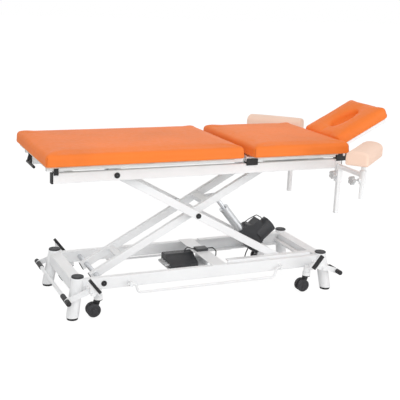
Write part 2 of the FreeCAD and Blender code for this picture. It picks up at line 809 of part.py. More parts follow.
outer_tube = tube("outer_arm_tube", whole_arm, s.arm_width, s.arm_height,
                  upper_pivot_x - s.arm_end * arm_cos, -outer_y,
                  upper_pivot_z + s.arm_end * arm_sin, Y_AXIS, s.scissor_angle)
outer_arm = carved("outer_arm_near", outer_tube, [
    arm_hole("outer_hole_high", s.pivot_axle_radius + running, upper_pivot_x,
             upper_pivot_z, s.outer_arm_outer_face),
    arm_hole("outer_hole_centre", s.centre_axle_radius + running, centre_x, centre_z,
             s.outer_arm_outer_face),
    arm_hole("outer_hole_low", s.roller_axle_radius + running, lower_roller_x,
             lower_roller_z, s.outer_arm_outer_face)])
node(both_sides("outer_arms", outer_arm), "outer_arms")


def arm_plug(name, along, y, pivot_x, pivot_z, angle):
    body = new_body(name)
    sketch = new_sketch(body, name + "_outline", "YZ_Plane")
    rectangle(sketch, s.arm_width, s.arm_height)
    padded(body, name + "_run", sketch, 3)
    rounded(body, name + "_corners", s.tube_corner, runs_along(X_AXIS))
    put(body, along, 0, 0)
    holder = doc.addObject("Part::Compound", name + "_placed")
    holder.Links = [body]
    return place(holder, pivot_x, y, pivot_z, Y_AXIS, angle)


plug_a = arm_plug("inner_plug_low", -(s.arm_end + 3), -inner_y, s.lower_pivot_x,
                  s.lower_pivot_z, -s.scissor_angle)
plug_b = arm_plug("inner_plug_high", s.arm_end, -inner_y, upper_roller_x,
                  upper_roller_z, -s.scissor_angle)
node(grouped("inner_arm_caps", [plug_a, plug_b, mirrored("inner_plug_low_far", plug_a),
                                mirrored("inner_plug_high_far", plug_b)]), "inner_arm_caps")

plug_c = arm_plug("outer_plug_high", -(s.arm_end + 3), -outer_y, upper_pivot_x,
                  upper_pivot_z, s.scissor_angle)
plug_d = arm_plug("outer_plug_low", s.arm_end, -outer_y, lower_roller_x,
                  lower_roller_z, s.scissor_angle)
centre_cap = disc_cap("centre_cap", s.pivot_cap_radius, s.pivot_cap_height, 1.5, centre_x,
                      -s.outer_arm_outer_face, centre_z, X_AXIS, 90)
node(grouped("outer_arm_caps", [plug_c, plug_d, centre_cap,
                                mirrored("outer_plug_high_far", plug_c),
                                mirrored("outer_plug_low_far", plug_d),
                                mirrored("centre_cap_far", centre_cap)]), "outer_arm_caps")

# Centre axle, held in the inner arms, with spacers up to the outer arms.
outer_inner_face = s.outer_arm_outer_face - s.arm_width
axle_core = rod("centre_axle_core", s.centre_axle_radius,
                s.outer_arm_outer_face * 2 - s.seat_gap * 2, centre_x,
                -s.outer_arm_outer_face + s.seat_gap, centre_z, "Y")
spacer_length = outer_inner_face - s.inner_arm_outer_face - s.seat_gap
spacer = rod("centre_spacer", s.centre_axle_radius + 5, spacer_length, centre_x,
             -(outer_inner_face - s.seat_gap), centre_z, "Y")
node(fused("centre_axle", [axle_core, spacer, mirrored("centre_spacer_far", spacer)]),
     "centre_axle")


def roller_axle(name, x, z, wheel_radius):
    reach = s.roller_inner_face + s.roller_width
    core = rod(name + "_core", s.roller_axle_radius, reach * 2, x, -reach, z, "Y")
    wheel = rod(name + "_wheel", wheel_radius, s.roller_width, x, -reach, z, "Y")
    return node(fused(name, [core, wheel, mirrored(name + "_wheel_far", wheel)]), name)


roller_axle("lower_rollers", lower_roller_x, lower_roller_z,
            s.lower_pivot_z - s.base_rail_bottom - 8 - s.seat_gap)
roller_axle("upper_rollers", upper_roller_x, upper_roller_z,
            s.top_rail_height / 2 - 4 - s.seat_gap)

# Actuator points.
tail_x = lower_roller_x - s.tail_back
tail_z = lower_roller_z - s.tail_drop
pin_x = tail_x + s.actuator_length * cosine(s.actuator_angle)
pin_z = tail_z + s.actuator_length * sine(s.actuator_angle)

inner_face = s.inner_arm_outer_face - s.arm_width
cross_along = s.lower_arm_half + 93
inner_cross_x = s.lower_pivot_x + cross_along * arm_cos
inner_cross_z = s.lower_pivot_z + cross_along * arm_sin
inner_cross = cross_tube("inner_cross_tube", inner_face, 36, 36, inner_cross_x,
                         inner_cross_z, angle=-s.scissor_angle)
inner_cross_low = cross_tube("inner_cross_low", inner_face, 30, 30,
                             s.lower_pivot_x + 150 * arm_cos,
                             s.lower_pivot_z + 150 * arm_sin, angle=-s.scissor_angle)
inner_cross_high = cross_tube("inner_cross_high", inner_face, 30, 30,
                              s.lower_pivot_x + 990 * arm_cos,
                              s.lower_pivot_z + 990 * arm_sin, angle=-s.scissor_angle)
ear = profile_plate("rod_ear", [
    (inner_cross_x - 4, inner_cross_z + 16), (inner_cross_x + 8, inner_cross_z - 22),
    (pin_x + 4, pin_z - 18), (pin_x + 17, pin_z - 8), (pin_x + 17, pin_z + 8),
    (pin_x + 4, pin_z + 18), (inner_cross_x + 14, inner_cross_z + 14)], -22, 6)
inner_middle = fused("inner_middle", [inner_cross, ear, mirrored("rod_ear_far", ear)])
node(grouped("inner_cross", [inner_middle, inner_cross_low, inner_cross_high]), "inner_cross")

outer_face_in = outer_inner_face
outer_cross_x = lower_roller_x - 36 * arm_cos
outer_cross_z = lower_roller_z + 36 * arm_sin
outer_cross_low = rod("outer_cross_low", 16, outer_face_in * 2, outer_cross_x,
                      -outer_face_in, outer_cross_z, "Y")
tail_ear = profile_plate("tail_ear", [
    (outer_cross_x + 10, outer_cross_z + 10), (outer_cross_x - 8, outer_cross_z + 15),
    (tail_x - 12, tail_z + 9), (tail_x - 13, tail_z - 8), (tail_x + 2, tail_z - 15),
    (outer_cross_x + 12, outer_cross_z - 12)], -13, 6)
tail_pin = rod("tail_pin", 6, 38, tail_x, -19, tail_z, "Y")
outer_lower = fused("outer_cross_lower", [outer_cross_low, tail_ear,
                                          mirrored("tail_ear_far", tail_ear), tail_pin])
outer_cross_high = cross_tube("outer_cross_high", outer_face_in, 30, 30,
                              upper_pivot_x + 120 * arm_cos,
                              upper_pivot_z - 120 * arm_sin, angle=s.scissor_angle)
node(grouped("outer_cross", [outer_lower, outer_cross_high]), "outer_cross")

# Actuator, built along its own X from the tail pin and then turned.
eye = rod("tail_eye", 15, 25, 0, -12.5, 0, "Y", local=True)
neck = block("tail_neck", 6, 66, -12.5, 12.5, -13, 13, local=True)
gear_body = new_body("gear_case")
gear_sketch = new_sketch(gear_body, "gear_case_outline", "XZ_Plane")
polygon(gear_sketch, [(48, -20), (60, -62), (176, -62), (192, -44), (192, 30), (66, 30),
                      (48, 16)])
padded(gear_body, "gear_case_run", gear_sketch, 72)
rounded(gear_body, "gear_case_edges", 7, runs_along(Y_AXIS))
put(gear_body, 0, 36, 0)
motor_along = 94
motor = rod("motor_can", 46, 98, motor_along, 0, -152, "Z", local=True)
motor_end = rod("motor_end", 34, 5, motor_along, 0, -156, "Z", local=True)
shoulder = block("gear_shoulder", 120, 171, -31, 31, -112, -50, local=True)
case = fused("actuator_case_whole", [eye, neck, gear_body, motor, motor_end, shoulder])
case_hole = rod("tail_hole", 6 + running, 30, 0, -15, 0, "Y", local=True)
rod_room = s.actuator_rod_radius + s.seat_gap
case_bore = rod("case_bore", rod_room, 70, 130, 0, 0, "X", local=True)
actuator_case = carved("actuator_case", case, [case_hole, case_bore])
node(place(actuator_case, tail_x, 0, tail_z, Y_AXIS, -s.actuator_angle), "actuator_case")

tube_out = rod("actuator_tube_outside", s.actuator_tube_radius, 166, 192, 0, 0, "X",
               local=True)
tube_ring = rod("actuator_tube_ring", s.actuator_tube_radius + 2, 10, 348, 0, 0, "X",
                local=True)
tube_in = rod("actuator_tube_inside", rod_room, 180, 188, 0, 0, "X", local=True)
tube_whole = fused("actuator_tube_whole", [tube_out, tube_ring])
actuator_tube = carved("actuator_tube", tube_whole, [tube_in])
node(place(actuator_tube, tail_x, 0, tail_z, Y_AXIS, -s.actuator_angle), "actuator_tube")

rod_core = rod("rod_core", s.actuator_rod_radius, s.actuator_length - 212, 204, 0, 0, "X",
               local=True)
rod_eye = rod("rod_eye", 15, 24, s.actuator_length, -12, 0, "Y", local=True)
rod_pin = rod("rod_pin", 7, 43.2, s.actuator_length, -21.6, 0, "Y", local=True)
actuator_rod = fused("actuator_rod", [rod_core, rod_eye, rod_pin])
node(place(actuator_rod, tail_x, 0, tail_z, Y_AXIS, -s.actuator_angle), "actuator_rod")

# Top frame.
top_rail = tube("top_rail_tube", s.top_rail_end - s.top_rail_start, s.rail_width,
                s.top_rail_height, s.top_rail_start, -rail_middle, top_rail_middle)
track_face = s.roller_inner_face
top_track = profile_bar("top_track", [
    (-rail_inner, rail_low), (-track_face, rail_low),
    (-track_face, rail_low + 4), (-rail_inner + 4, rail_low + 4),
    (-rail_inner + 4, top_rail_top - 4), (-track_face, top_rail_top - 4),
    (-track_face, top_rail_top), (-rail_inner, top_rail_top)],
    upper_roller_x - s.top_track_before, s.top_track_length)
top_rail_near = fused("top_rail_near", [top_rail, top_track])
node(both_sides("top_rails", top_rail_near), "top_rails")

node(rod("upper_pivot_axle", s.pivot_axle_radius, rail_inner * 2, upper_pivot_x,
         -rail_inner, upper_pivot_z, "Y"), "upper_pivot_axle")

top_cross_foot = cross_tube("top_cross_foot", rail_inner, 40, 30, 150, top_rail_middle)
top_cross_head = cross_tube("top_cross_head", rail_inner, 40, 30, s.top_rail_end - 81,
                            top_rail_middle)
hinge_ear = block("hinge_ear", s.hinge_x - 18, s.hinge_x + 18, -rail_inner,
                  -rail_inner + 8, rail_low + 16, s.hinge_z + 10)
hinge_shaft = rod("hinge_shaft", s.hinge_radius, (s.rail_outer + 1) * 2, s.hinge_x,
                  -s.rail_outer - 1, s.hinge_z, "Y")
hinge_set = fused("hinge_set", [hinge_ear, mirrored("hinge_ear_far", hinge_ear), hinge_shaft])
top_crosses = [top_cross_foot, top_cross_head, hinge_set]

rest_top = s.leaf_tube_bottom - s.seat_gap
cheek_out = s.rail_outer + 6


def rest_block(name, x_low, length):
    return profile_bar(name, [
        (-cheek_out, top_rail_top - 9), (-s.rail_outer, top_rail_top - 9),
        (-s.rail_outer, top_rail_top), (-rail_inner, top_rail_top),
        (-rail_inner, rest_top), (-s.rail_outer, rest_top),
        (-s.rail_outer, rest_top + 16), (-cheek_out, rest_top + 16)], x_low, length)


rest_a = rest_block("rest_block_foot", s.top_rail_start + 2, 21)
rest_b = rest_block("rest_block_middle", s.long_section_length + s.section_gap + 9, 62)
head_block_start = s.head_hinge_x - 44
head_block = profile_bar("head_block", [
    (-cheek_out, top_rail_top - 9), (-s.rail_outer, top_rail_top - 9),
    (-s.rail_outer, top_rail_top), (-rail_inner, top_rail_top),
    (-rail_inner, s.head_hinge_z + 12), (-cheek_out, s.head_hinge_z + 12)],
    head_block_start, 59)
head_hole = rod("head_block_hole", s.head_shaft_radius + running, 50, s.head_hinge_x,
                -cheek_out - 5, s.head_hinge_z, "Y")
rest_c = carved("rest_block_head", head_block, [head_hole])
rail_plug = block("rail_plug_foot", s.top_rail_start - s.plug_length, s.top_rail_start,
                  -s.rail_outer, -rail_inner, rail_low, top_rail_top)
rail_plug_head = block("rail_plug_head", s.top_rail_end, s.top_rail_end + 4,
                       -s.rail_outer, -rail_inner, rail_low, top_rail_top)
top_cap = disc_cap("top_pivot_cap", s.pivot_cap_radius, s.pivot_cap_height, 1.5,
                   upper_pivot_x, -s.rail_outer, upper_pivot_z, X_AXIS, 90)
black_near = [rest_a, rest_b, rest_c, rail_plug, rail_plug_head, top_cap]
black_far = [mirrored(item.Name + "_far", item) for item in black_near]
node(grouped("rest_blocks", black_near + black_far), "rest_blocks")

# Sections: a board on a tube frame under each cushion.
leaf_middle = s.leaf_tube_bottom + s.leaf_tube / 2
leaf_inner = s.leaf_tube_offset - s.leaf_tube / 2
leaf_top = s.leaf_tube_bottom + s.leaf_tube
short_start = s.long_section_length + s.section_gap
half_width = s.cushion_width / 2


def side_tube(name, start, end):
    return tube(name, end - start, s.leaf_tube, s.leaf_tube, start, -s.leaf_tube_offset,
                leaf_middle)


a_tube = side_tube("long_side_tube", as_size(28), s.hinge_x + 12)
a_hole = rod("long_hinge_hole", s.hinge_radius + running, s.leaf_tube + 4, s.hinge_x,
             -(s.leaf_tube_offset + s.leaf_tube / 2 + 2), s.hinge_z, "Y")
a_side = carved("long_side_near", a_tube, [a_hole])
a_cross = [cross_tube("long_cross_a", leaf_inner, 28, s.leaf_tube, 113, leaf_middle),
           cross_tube("long_cross_b", leaf_inner, 92, s.leaf_tube, 325, leaf_middle),
           cross_tube("long_cross_c", leaf_inner, 100, s.leaf_tube, 709, leaf_middle),
           cross_tube("long_cross_d", leaf_inner, 28, s.leaf_tube, s.hinge_x - 40, leaf_middle)]
lever_ear = block("lever_ear_a", s.lever_x - 12, s.lever_x + 14, -9, -4, s.lever_z - 9,
                  leaf_top)
lever_ear_b = block("lever_ear_b", s.lever_x - 12, s.lever_x + 14, 144, 149,
                    s.lever_z - 9, leaf_top)
lever_pin = rod("lever_pin", 4, 158, s.lever_x, -9, s.lever_z, "Y")
lever_mount = fused("lever_mount", [lever_ear, lever_ear_b, lever_pin])
node(grouped("section_a_frame", [a_side, mirrored("long_side_far", a_side)] + a_cross
             + [lever_mount]), "section_a_frame")

b_side = side_tube("short_side_near", short_start + 7, s.head_hinge_x - 48)
b_cross = [cross_tube("short_cross_a", leaf_inner, 28, s.leaf_tube, short_start + 40,
                      leaf_middle),
           cross_tube("short_cross_b", leaf_inner, 60, s.leaf_tube,
                      (short_start + s.short_section_end) / 2, leaf_middle),
           cross_tube("short_cross_c", leaf_inner, 28, s.leaf_tube, s.short_section_end - 58,
                      leaf_middle)]
node(grouped("section_b_frame", [b_side, mirrored("short_side_far", b_side)] + b_cross
             + top_crosses), "section_b_frame")

board_half = half_width - s.board_inset
node(block("section_a_board", s.board_inset - 30, s.long_section_length - s.board_inset,
           -board_half, board_half, leaf_top, leaf_top + s.board_thickness),
     "section_a_board")
node(block("section_b_board", short_start + s.board_inset,
           s.short_section_end - s.board_inset, -board_half, board_half, leaf_top,
           leaf_top + s.board_thickness), "section_b_board")


def cushion(name, start, end):
    body = new_body(name)
    sketch = new_sketch(body, name + "_outline", "XY_Plane")
    polygon(sketch, [(start, -half_width), (end, -half_width), (end, half_width),
                     (start, half_width)])
    padded(body, name + "_block", sketch, s.cushion_thickness)
    rounded(body, name + "_corners", s.cushion_corner, runs_along(Z_AXIS))
    rounded(body, name + "_top", s.cushion_top_edge, at_height(s.cushion_thickness.number))
    rounded(body, name + "_low", s.cushion_low_edge, at_height(0))
    return node(place(body, 0, 0, s.cushion_bottom), name)


cushion("section_a_pad", as_size(0), s.long_section_length)
cushion("section_b_pad", short_start, s.short_section_end)

# Release lever under the foot end of the long section.
lever_sleeve = rod("lever_sleeve", 8, 147.4, s.lever_x, -3.7, s.lever_z, "Y")
lever_arm = profile_plate("lever_arm", [
    (s.lever_x - 7, s.lever_z + 5), (s.lever_x + 7, s.lever_z - 5),
    (s.lever_x - 11, s.lever_z - 44), (s.lever_x - 22, s.lever_z - 44)], 142, 12)
lever_grip = rod("lever_grip", 7, 144, s.lever_x - 17, -2, s.lever_z - 43, "Y")
lever_hole = rod("lever_hole", 4 + running, 160, s.lever_x, -10, s.lever_z, "Y")
lever_whole = fused("release_lever_whole", [lever_sleeve, lever_arm, lever_grip])
node(carved("release_lever", lever_whole, [lever_hole]), "release_lever")

# Head section, built along its own X from the head hinge and then turned.
tilt = -s.head_angle
head_tube_z = s.head_pad_bottom - s.seat_gap - 10
head_side = tube("head_side_tube", 350, 20, 20, -10, -150, head_tube_z, local=True)
head_side_far = mirrored("head_side_tube_far", head_side)
head_cross_a = cross_tube("head_cross_a", as_size(140), 20, 20, 44, head_tube_z, local=True)
head_cross_b = cross_tube("head_cross_b", as_size(140), 20, 20, 328, head_tube_z, local=True)
head_shaft = rod("head_shaft", s.head_shaft_radius, (s.rail_outer + 4) * 2, 0,
                 -s.rail_outer - 4, 0, "Y", local=True)
head_sides = fused("head_sides", [head_side, head_side_far, head_shaft])
head_frame = grouped("head_frame", [head_sides, head_cross_a, head_cross_b])
node(place(head_frame, s.head_hinge_x, 0, s.head_hinge_z, Y_AXIS, tilt), "head_frame")

head_body = new_body("head_pad")
head_sketch = new_sketch(head_body, "head_pad_outline", "XY_Plane")
head_end = s.head_pad_start + s.head_pad_length
head_half = s.head_pad_width / 2
polygon(head_sketch, [(s.head_pad_start, -head_half), (head_end, -head_half),
                      (head_end, head_half), (s.head_pad_start, head_half)])
padded(head_body, "head_pad_block", head_sketch, s.head_pad_thickness)
rounded(head_body, "head_pad_corners", s.head_pad_corner, runs_along(Z_AXIS))
slot_middle = s.head_pad_start + s.head_pad_length / 2
slot_half = s.head_slot_length / 2
slot_side = s.head_slot_width / 2
slot_sketch = new_sketch(head_body, "head_slot_outline", "XY_Plane")
polygon(slot_sketch, [(slot_middle - slot_half, -slot_side), (slot_middle + slot_half, -slot_side),
                      (slot_middle + slot_half, slot_side), (slot_middle - slot_half, slot_side)])
pocketed(head_body, "head_slot", slot_sketch)


def inside_slot(edge):
    box = edge.BoundBox
    upright = runs_along(Z_AXIS)(edge)
    near_middle = max(abs(box.YMin), abs(box.YMax)) < slot_side.number + 1
    return upright and near_middle


rounded(head_body, "head_slot_corners", slot_side - 1, inside_slot)
rounded(head_body, "head_pad_top", 14, at_height(s.head_pad_thickness.number))
rounded(head_body, "head_pad_low", s.cushion_low_edge, at_height(0))
put(head_body, 0, 0, s.head_pad_bottom)
head_holder = doc.addObject("Part::Compound", "head_pad_placed")
head_holder.Links = [head_body]
node(place(head_holder, s.head_hinge_x, 0, s.head_hinge_z, Y_AXIS, tilt), "head_pad")

# Armrest sockets on the rails.
post_half = s.post_width / 2
socket_half = s.socket_width / 2
socket_y = s.armrest_socket_y
socket_low = rail_low - 67
socket_high = rail_low - 7
knob_low_z = rail_low - 29
knob_high_z = rail_low - 9
bracket = block("socket_plate", s.armrest_x - socket_half, s.armrest_x + socket_half,
                -(s.rail_outer + 5), -s.rail_outer, socket_low, rail_low + 40)
socket = block("socket_case", s.armrest_x - socket_half, s.armrest_x + socket_half,
               -(socket_y + socket_half), -(socket_y - socket_half), socket_low, socket_high)
boss = rod("socket_boss", 9, 12, s.armrest_x - socket_half - 10, -socket_y, knob_low_z, "X")
fit_half = post_half + s.seat_gap
socket_hole = block("socket_hole", s.armrest_x - fit_half, s.armrest_x + fit_half,
                    -(socket_y + fit_half), -(socket_y - fit_half), socket_low - 7,
                    socket_high + 7)
boss_hole = rod("socket_boss_hole", 4 + running, 40, s.armrest_x - socket_half - 12,
                -socket_y, knob_low_z, "X")
socket_whole = fused("socket_whole", [bracket, socket, boss])
socket_near = carved("arm_socket_near", socket_whole, [socket_hole, boss_hole])
node(both_sides("arm_sockets", socket_near), "arm_sockets")

post = block("post", s.armrest_x - post_half, s.armrest_x + post_half,
             -(socket_y + post_half), -(socket_y - post_half), rail_low - s.post_below_rail,
             rail_low + s.post_above_rail)
pad_y = s.armrest_pad_y
outboard = block("outboard_arm", s.armrest_x - post_half, s.armrest_x + post_half,
                 -(pad_y - socket_half + 3), -(socket_y + post_half - 3),
                 rail_low + 4, rail_low + 24)
pad_socket = rod("pad_socket", socket_half + 2, 70, s.armrest_x, -pad_y, rail_low - 31, "Z")
pad_boss = rod("pad_boss", 9, 26, s.armrest_x - socket_half - 10, -pad_y, knob_high_z, "X")
pad_socket_hole = rod("pad_socket_hole", 11 + s.seat_gap, 90, s.armrest_x, -pad_y,
                      rail_low - 41, "Z")
pad_boss_hole = rod("pad_boss_hole", 4 + running, 30, s.armrest_x - socket_half - 12,
                    -pad_y, knob_high_z, "X")
arm_whole = fused("armrest_arm_whole", [post, outboard, pad_socket, pad_boss])
arm_near = carved("armrest_arm_near", arm_whole, [pad_socket_hole, pad_boss_hole])
node(arm_near, "armrest_arm_near")
node(mirrored("armrest_arm_far", arm_near), "armrest_arm_far")

flange_top = s.armrest_pad_bottom - s.seat_gap
pad_post = rod("pad_post_core", 11, flange_top - rail_low + 109, s.armrest_x, -pad_y,
               rail_low - 109, "Z")
flange = rod("pad_flange", 32, 5, s.armrest_x, -pad_y, flange_top - 5, "Z")
post_near = fused("pad_post_near", [pad_post, flange])
node(post_near, "pad_post_near")
node(mirrored("pad_post_far", post_near), "pad_post_far")

rest_body = new_body("armrest_pad_near")
rest_sketch = new_sketch(rest_body, "armrest_pad_profile", "YZ_Plane")
rest_half = s.armrest_pad_width / 2
side_high = s.armrest_pad_side
polygon(rest_sketch, [
    (-rest_half, 0), (rest_half, 0), (rest_half, side_high),
    (rest_half * 0.8, side_high + (s.armrest_pad_height - side_high) * 0.52),
    (rest_half * 0.42, side_high + (s.armrest_pad_height - side_high) * 0.9),
    (0, s.armrest_pad_height),
    (-rest_half * 0.42, side_high + (s.armrest_pad_height - side_high) * 0.9),
    (-rest_half * 0.8, side_high + (s.armrest_pad_height - side_high) * 0.52),
    (-rest_half, side_high)])
padded(rest_body, "armrest_pad_run", rest_sketch, s.armrest_pad_length, symmetric=True)
rounded(rest_body, "armrest_pad_edges", 8, runs_along(X_AXIS))
place(rest_body, s.armrest_x, -pad_y, s.armrest_pad_bottom, Z_AXIS, s.armrest_pad_angle)
node(rest_body, "armrest_pad_near")
node(mirrored("armrest_pad_far", rest_body), "armrest_pad_far")


# Star knobs clamp the posts.
def star_knob(name, head_x, y, z, stem_end):
    body = new_body(name)
    head = new_sketch(body, name + "_disc", "YZ_Plane")
    circle(head, 0, 0, s.knob_radius)
    padded(body, name + "_head", head, s.knob_thickness)
    notch = new_sketch(body, name + "_notch_circle", "YZ_Plane")
    circle(notch, s.knob_radius + 4, 0, 9)
    notch_cut = pocketed(body, name + "_notch", notch)
    doc.recompute()
    pattern = body.newObject("PartDesign::PolarPattern", name + "_notches")
    pattern.Originals = [notch_cut]
    pattern.Axis = (origin_part(body, "X_Axis"), [""])
    pattern.Angle = 360
    pattern.Occurrences = 5
    body.Tip = pattern
    stem = new_sketch(body, name + "_stem_circle", "YZ_Plane")
    circle(stem, 0, 0, 4)
    padded(body, name + "_stem", stem, stem_end - head_x)
    return place(body, head_x, y, z)


knob_low_x = s.armrest_x - 46
knob_high_x = s.armrest_x - 71
knob_low = star_knob("knob_low_near", knob_low_x, -socket_y, knob_low_z,
                     s.armrest_x - post_half - s.seat_gap)
knob_high = star_knob("knob_high_near", knob_high_x, -pad_y, knob_high_z,
                      s.armrest_x - 11 - s.seat_gap)
node(knob_low, "knob_low_near")
node(mirrored("knob_low_far", knob_low), "knob_low_far")
node(knob_high, "knob_high_near")
node(mirrored("knob_high_far", knob_high), "knob_high_far")


def along_actuator(along, across):
    """Return the X and Z of a place on the actuator, with across towards the motor."""
    away_x = along * cosine(s.actuator_angle) + across * sine(s.actuator_angle)
    away_z = along * sine(s.actuator_angle) - across * cosine(s.actuator_angle)
    return (tail_x + away_x - shift).number, (tail_z + away_z).number


# Cable from the gear case's near face down, along the base and up to the switch. It stays
# beside the motor, so that the actuator can swing and roll past it.
gland_x, gland_z = along_actuator(108, -22)
gland_y = -(36 + s.seat_gap.number)
beside_motor = -53
plate_end = (as_size(956) - shift).number
switch_z = base_rail_top.number + 10.5
cable_points = [(gland_x, gland_y, gland_z), (gland_x, beside_motor, gland_z),
                (gland_x - 18, beside_motor, gland_z - 40),
                (gland_x - 30, beside_motor, gland_z - 85),
                (gland_x - 46, beside_motor, 104), (gland_x - 100, -34, 99),
                (plate_end + 34, -6, 103),
                (plate_end + 32, 4, 132), (plate_end + 52, 8, 158), (plate_end + 54, 12, 182),
                (plate_end + 38, 22, switch_z), (plate_end, 22, switch_z)]
node(swept("actuator_cable", cable_points, 3, 12), "actuator_cable")

# Short lead from the control box up to the switch.
box_side = (box_end - shift).number
box_high = (s.tray_z + s.box_height).number
lead_points = [(box_side - 42, 84, box_high), (box_side - 42, 84, box_high + 14),
               (box_side - 34, 66, switch_z + 1), (box_side - 22, 36, switch_z),
               (box_side - 9, 36, switch_z)]
node(swept("switch_cable", lead_points, 2.6, 8), "switch_cable")

# Lead that loops from the gear case to the motor.
lead_places = [(192.05, 34), (205, 34), (200, 74), (186, 121), (157, 132), (140.05, 132)]
lead_route = []
for along, across in lead_places:
    lead_x, lead_z = along_actuator(along, across)
    lead_route.append((lead_x, 0, lead_z))
node(swept("motor_lead", lead_route, 2.4, 10), "motor_lead")

doc.recompute()

problems = []
for item in doc.Objects:
    state = [word for word in item.State if word in ("Invalid", "Error")]
    if state:
        problems.append("%s %s" % (item.Name, state))
for name, item in NODES.items():
    shape = item.Shape
    if shape.isNull() or not shape.isValid() or not shape.Solids:
        problems.append("%s has no valid solid" % name)
print("nodes: %d, overall %.1f mm, shift %.2f mm" % (len(NODES), overall.number, shift.number))
for line in problems:
    print("PROBLEM", line)
if problems:
    raise RuntimeError("the model has %d problems" % len(problems))

os.makedirs("parts", exist_ok=True)
for name, item in NODES.items():
    item.Shape.exportStep(os.path.join("parts", name + ".step"))
    print("%-22s solids %2d volume %.0f" % (name, len(item.Shape.Solids), item.Shape.Volume))
print("done")
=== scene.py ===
"""Treatment table: upholstery, finishes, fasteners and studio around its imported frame."""

import logging
import math
from dataclasses import dataclass, field
from enum import Enum
from typing import Iterable, Sequence

import bmesh
import bpy
import numpy as np
from mathutils import Matrix, Vector
from mathutils.bvhtree import BVHTree

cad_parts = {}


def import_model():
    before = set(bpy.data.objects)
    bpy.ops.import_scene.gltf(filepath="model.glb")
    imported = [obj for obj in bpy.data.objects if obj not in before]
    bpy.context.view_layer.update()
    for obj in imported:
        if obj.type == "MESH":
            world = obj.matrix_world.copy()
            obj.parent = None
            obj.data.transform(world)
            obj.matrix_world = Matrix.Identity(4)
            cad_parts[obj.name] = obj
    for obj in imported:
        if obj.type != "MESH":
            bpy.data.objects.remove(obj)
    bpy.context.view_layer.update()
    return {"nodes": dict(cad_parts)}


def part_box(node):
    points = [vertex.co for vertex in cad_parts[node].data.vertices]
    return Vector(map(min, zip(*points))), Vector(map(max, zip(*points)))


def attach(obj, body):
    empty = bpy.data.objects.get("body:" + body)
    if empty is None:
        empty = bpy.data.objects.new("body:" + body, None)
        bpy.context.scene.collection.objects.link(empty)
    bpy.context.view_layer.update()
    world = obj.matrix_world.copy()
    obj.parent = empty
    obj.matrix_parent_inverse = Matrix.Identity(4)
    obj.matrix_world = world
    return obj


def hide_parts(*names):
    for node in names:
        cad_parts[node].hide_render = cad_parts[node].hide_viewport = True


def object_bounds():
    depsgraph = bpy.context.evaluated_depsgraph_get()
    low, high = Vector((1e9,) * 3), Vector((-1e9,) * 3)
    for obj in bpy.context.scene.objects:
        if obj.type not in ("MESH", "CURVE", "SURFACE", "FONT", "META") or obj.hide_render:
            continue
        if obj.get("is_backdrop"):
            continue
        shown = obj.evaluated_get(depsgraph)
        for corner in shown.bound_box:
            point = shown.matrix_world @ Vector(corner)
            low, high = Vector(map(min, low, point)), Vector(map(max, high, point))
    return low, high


LOG = logging.getLogger("treatment_table")
MM = 0.001
# From the foot end to the frame's origin, in millimetres.
FOOT_TO_MIDDLE = 961.354


class Side(Enum):
    """The two long sides of the table; the camera stands on the near one."""

    NEAR = -1
    FAR = 1


def at(x: float, y: float, z: float) -> Vector:
    """Turn a point measured from the foot end, in millimetres, into the frame in metres."""
    return Vector(((x - FOOT_TO_MIDDLE) * MM, y * MM, z * MM))


def linear(colour: Sequence[float]) -> tuple[float, float, float, float]:
    """Turn a screen colour from 0 to 255 into linear light.

    Args:
        colour: Red, green and blue as a screen shows them.

    Returns:
        Linear red, green, blue and an alpha of one.
    """
    share = np.asarray(colour, float) / 255.0
    light = np.where(share <= 0.04045, share / 12.92, ((share + 0.055) / 1.055) ** 2.4)
    return (float(light[0]), float(light[1]), float(light[2]), 1.0)


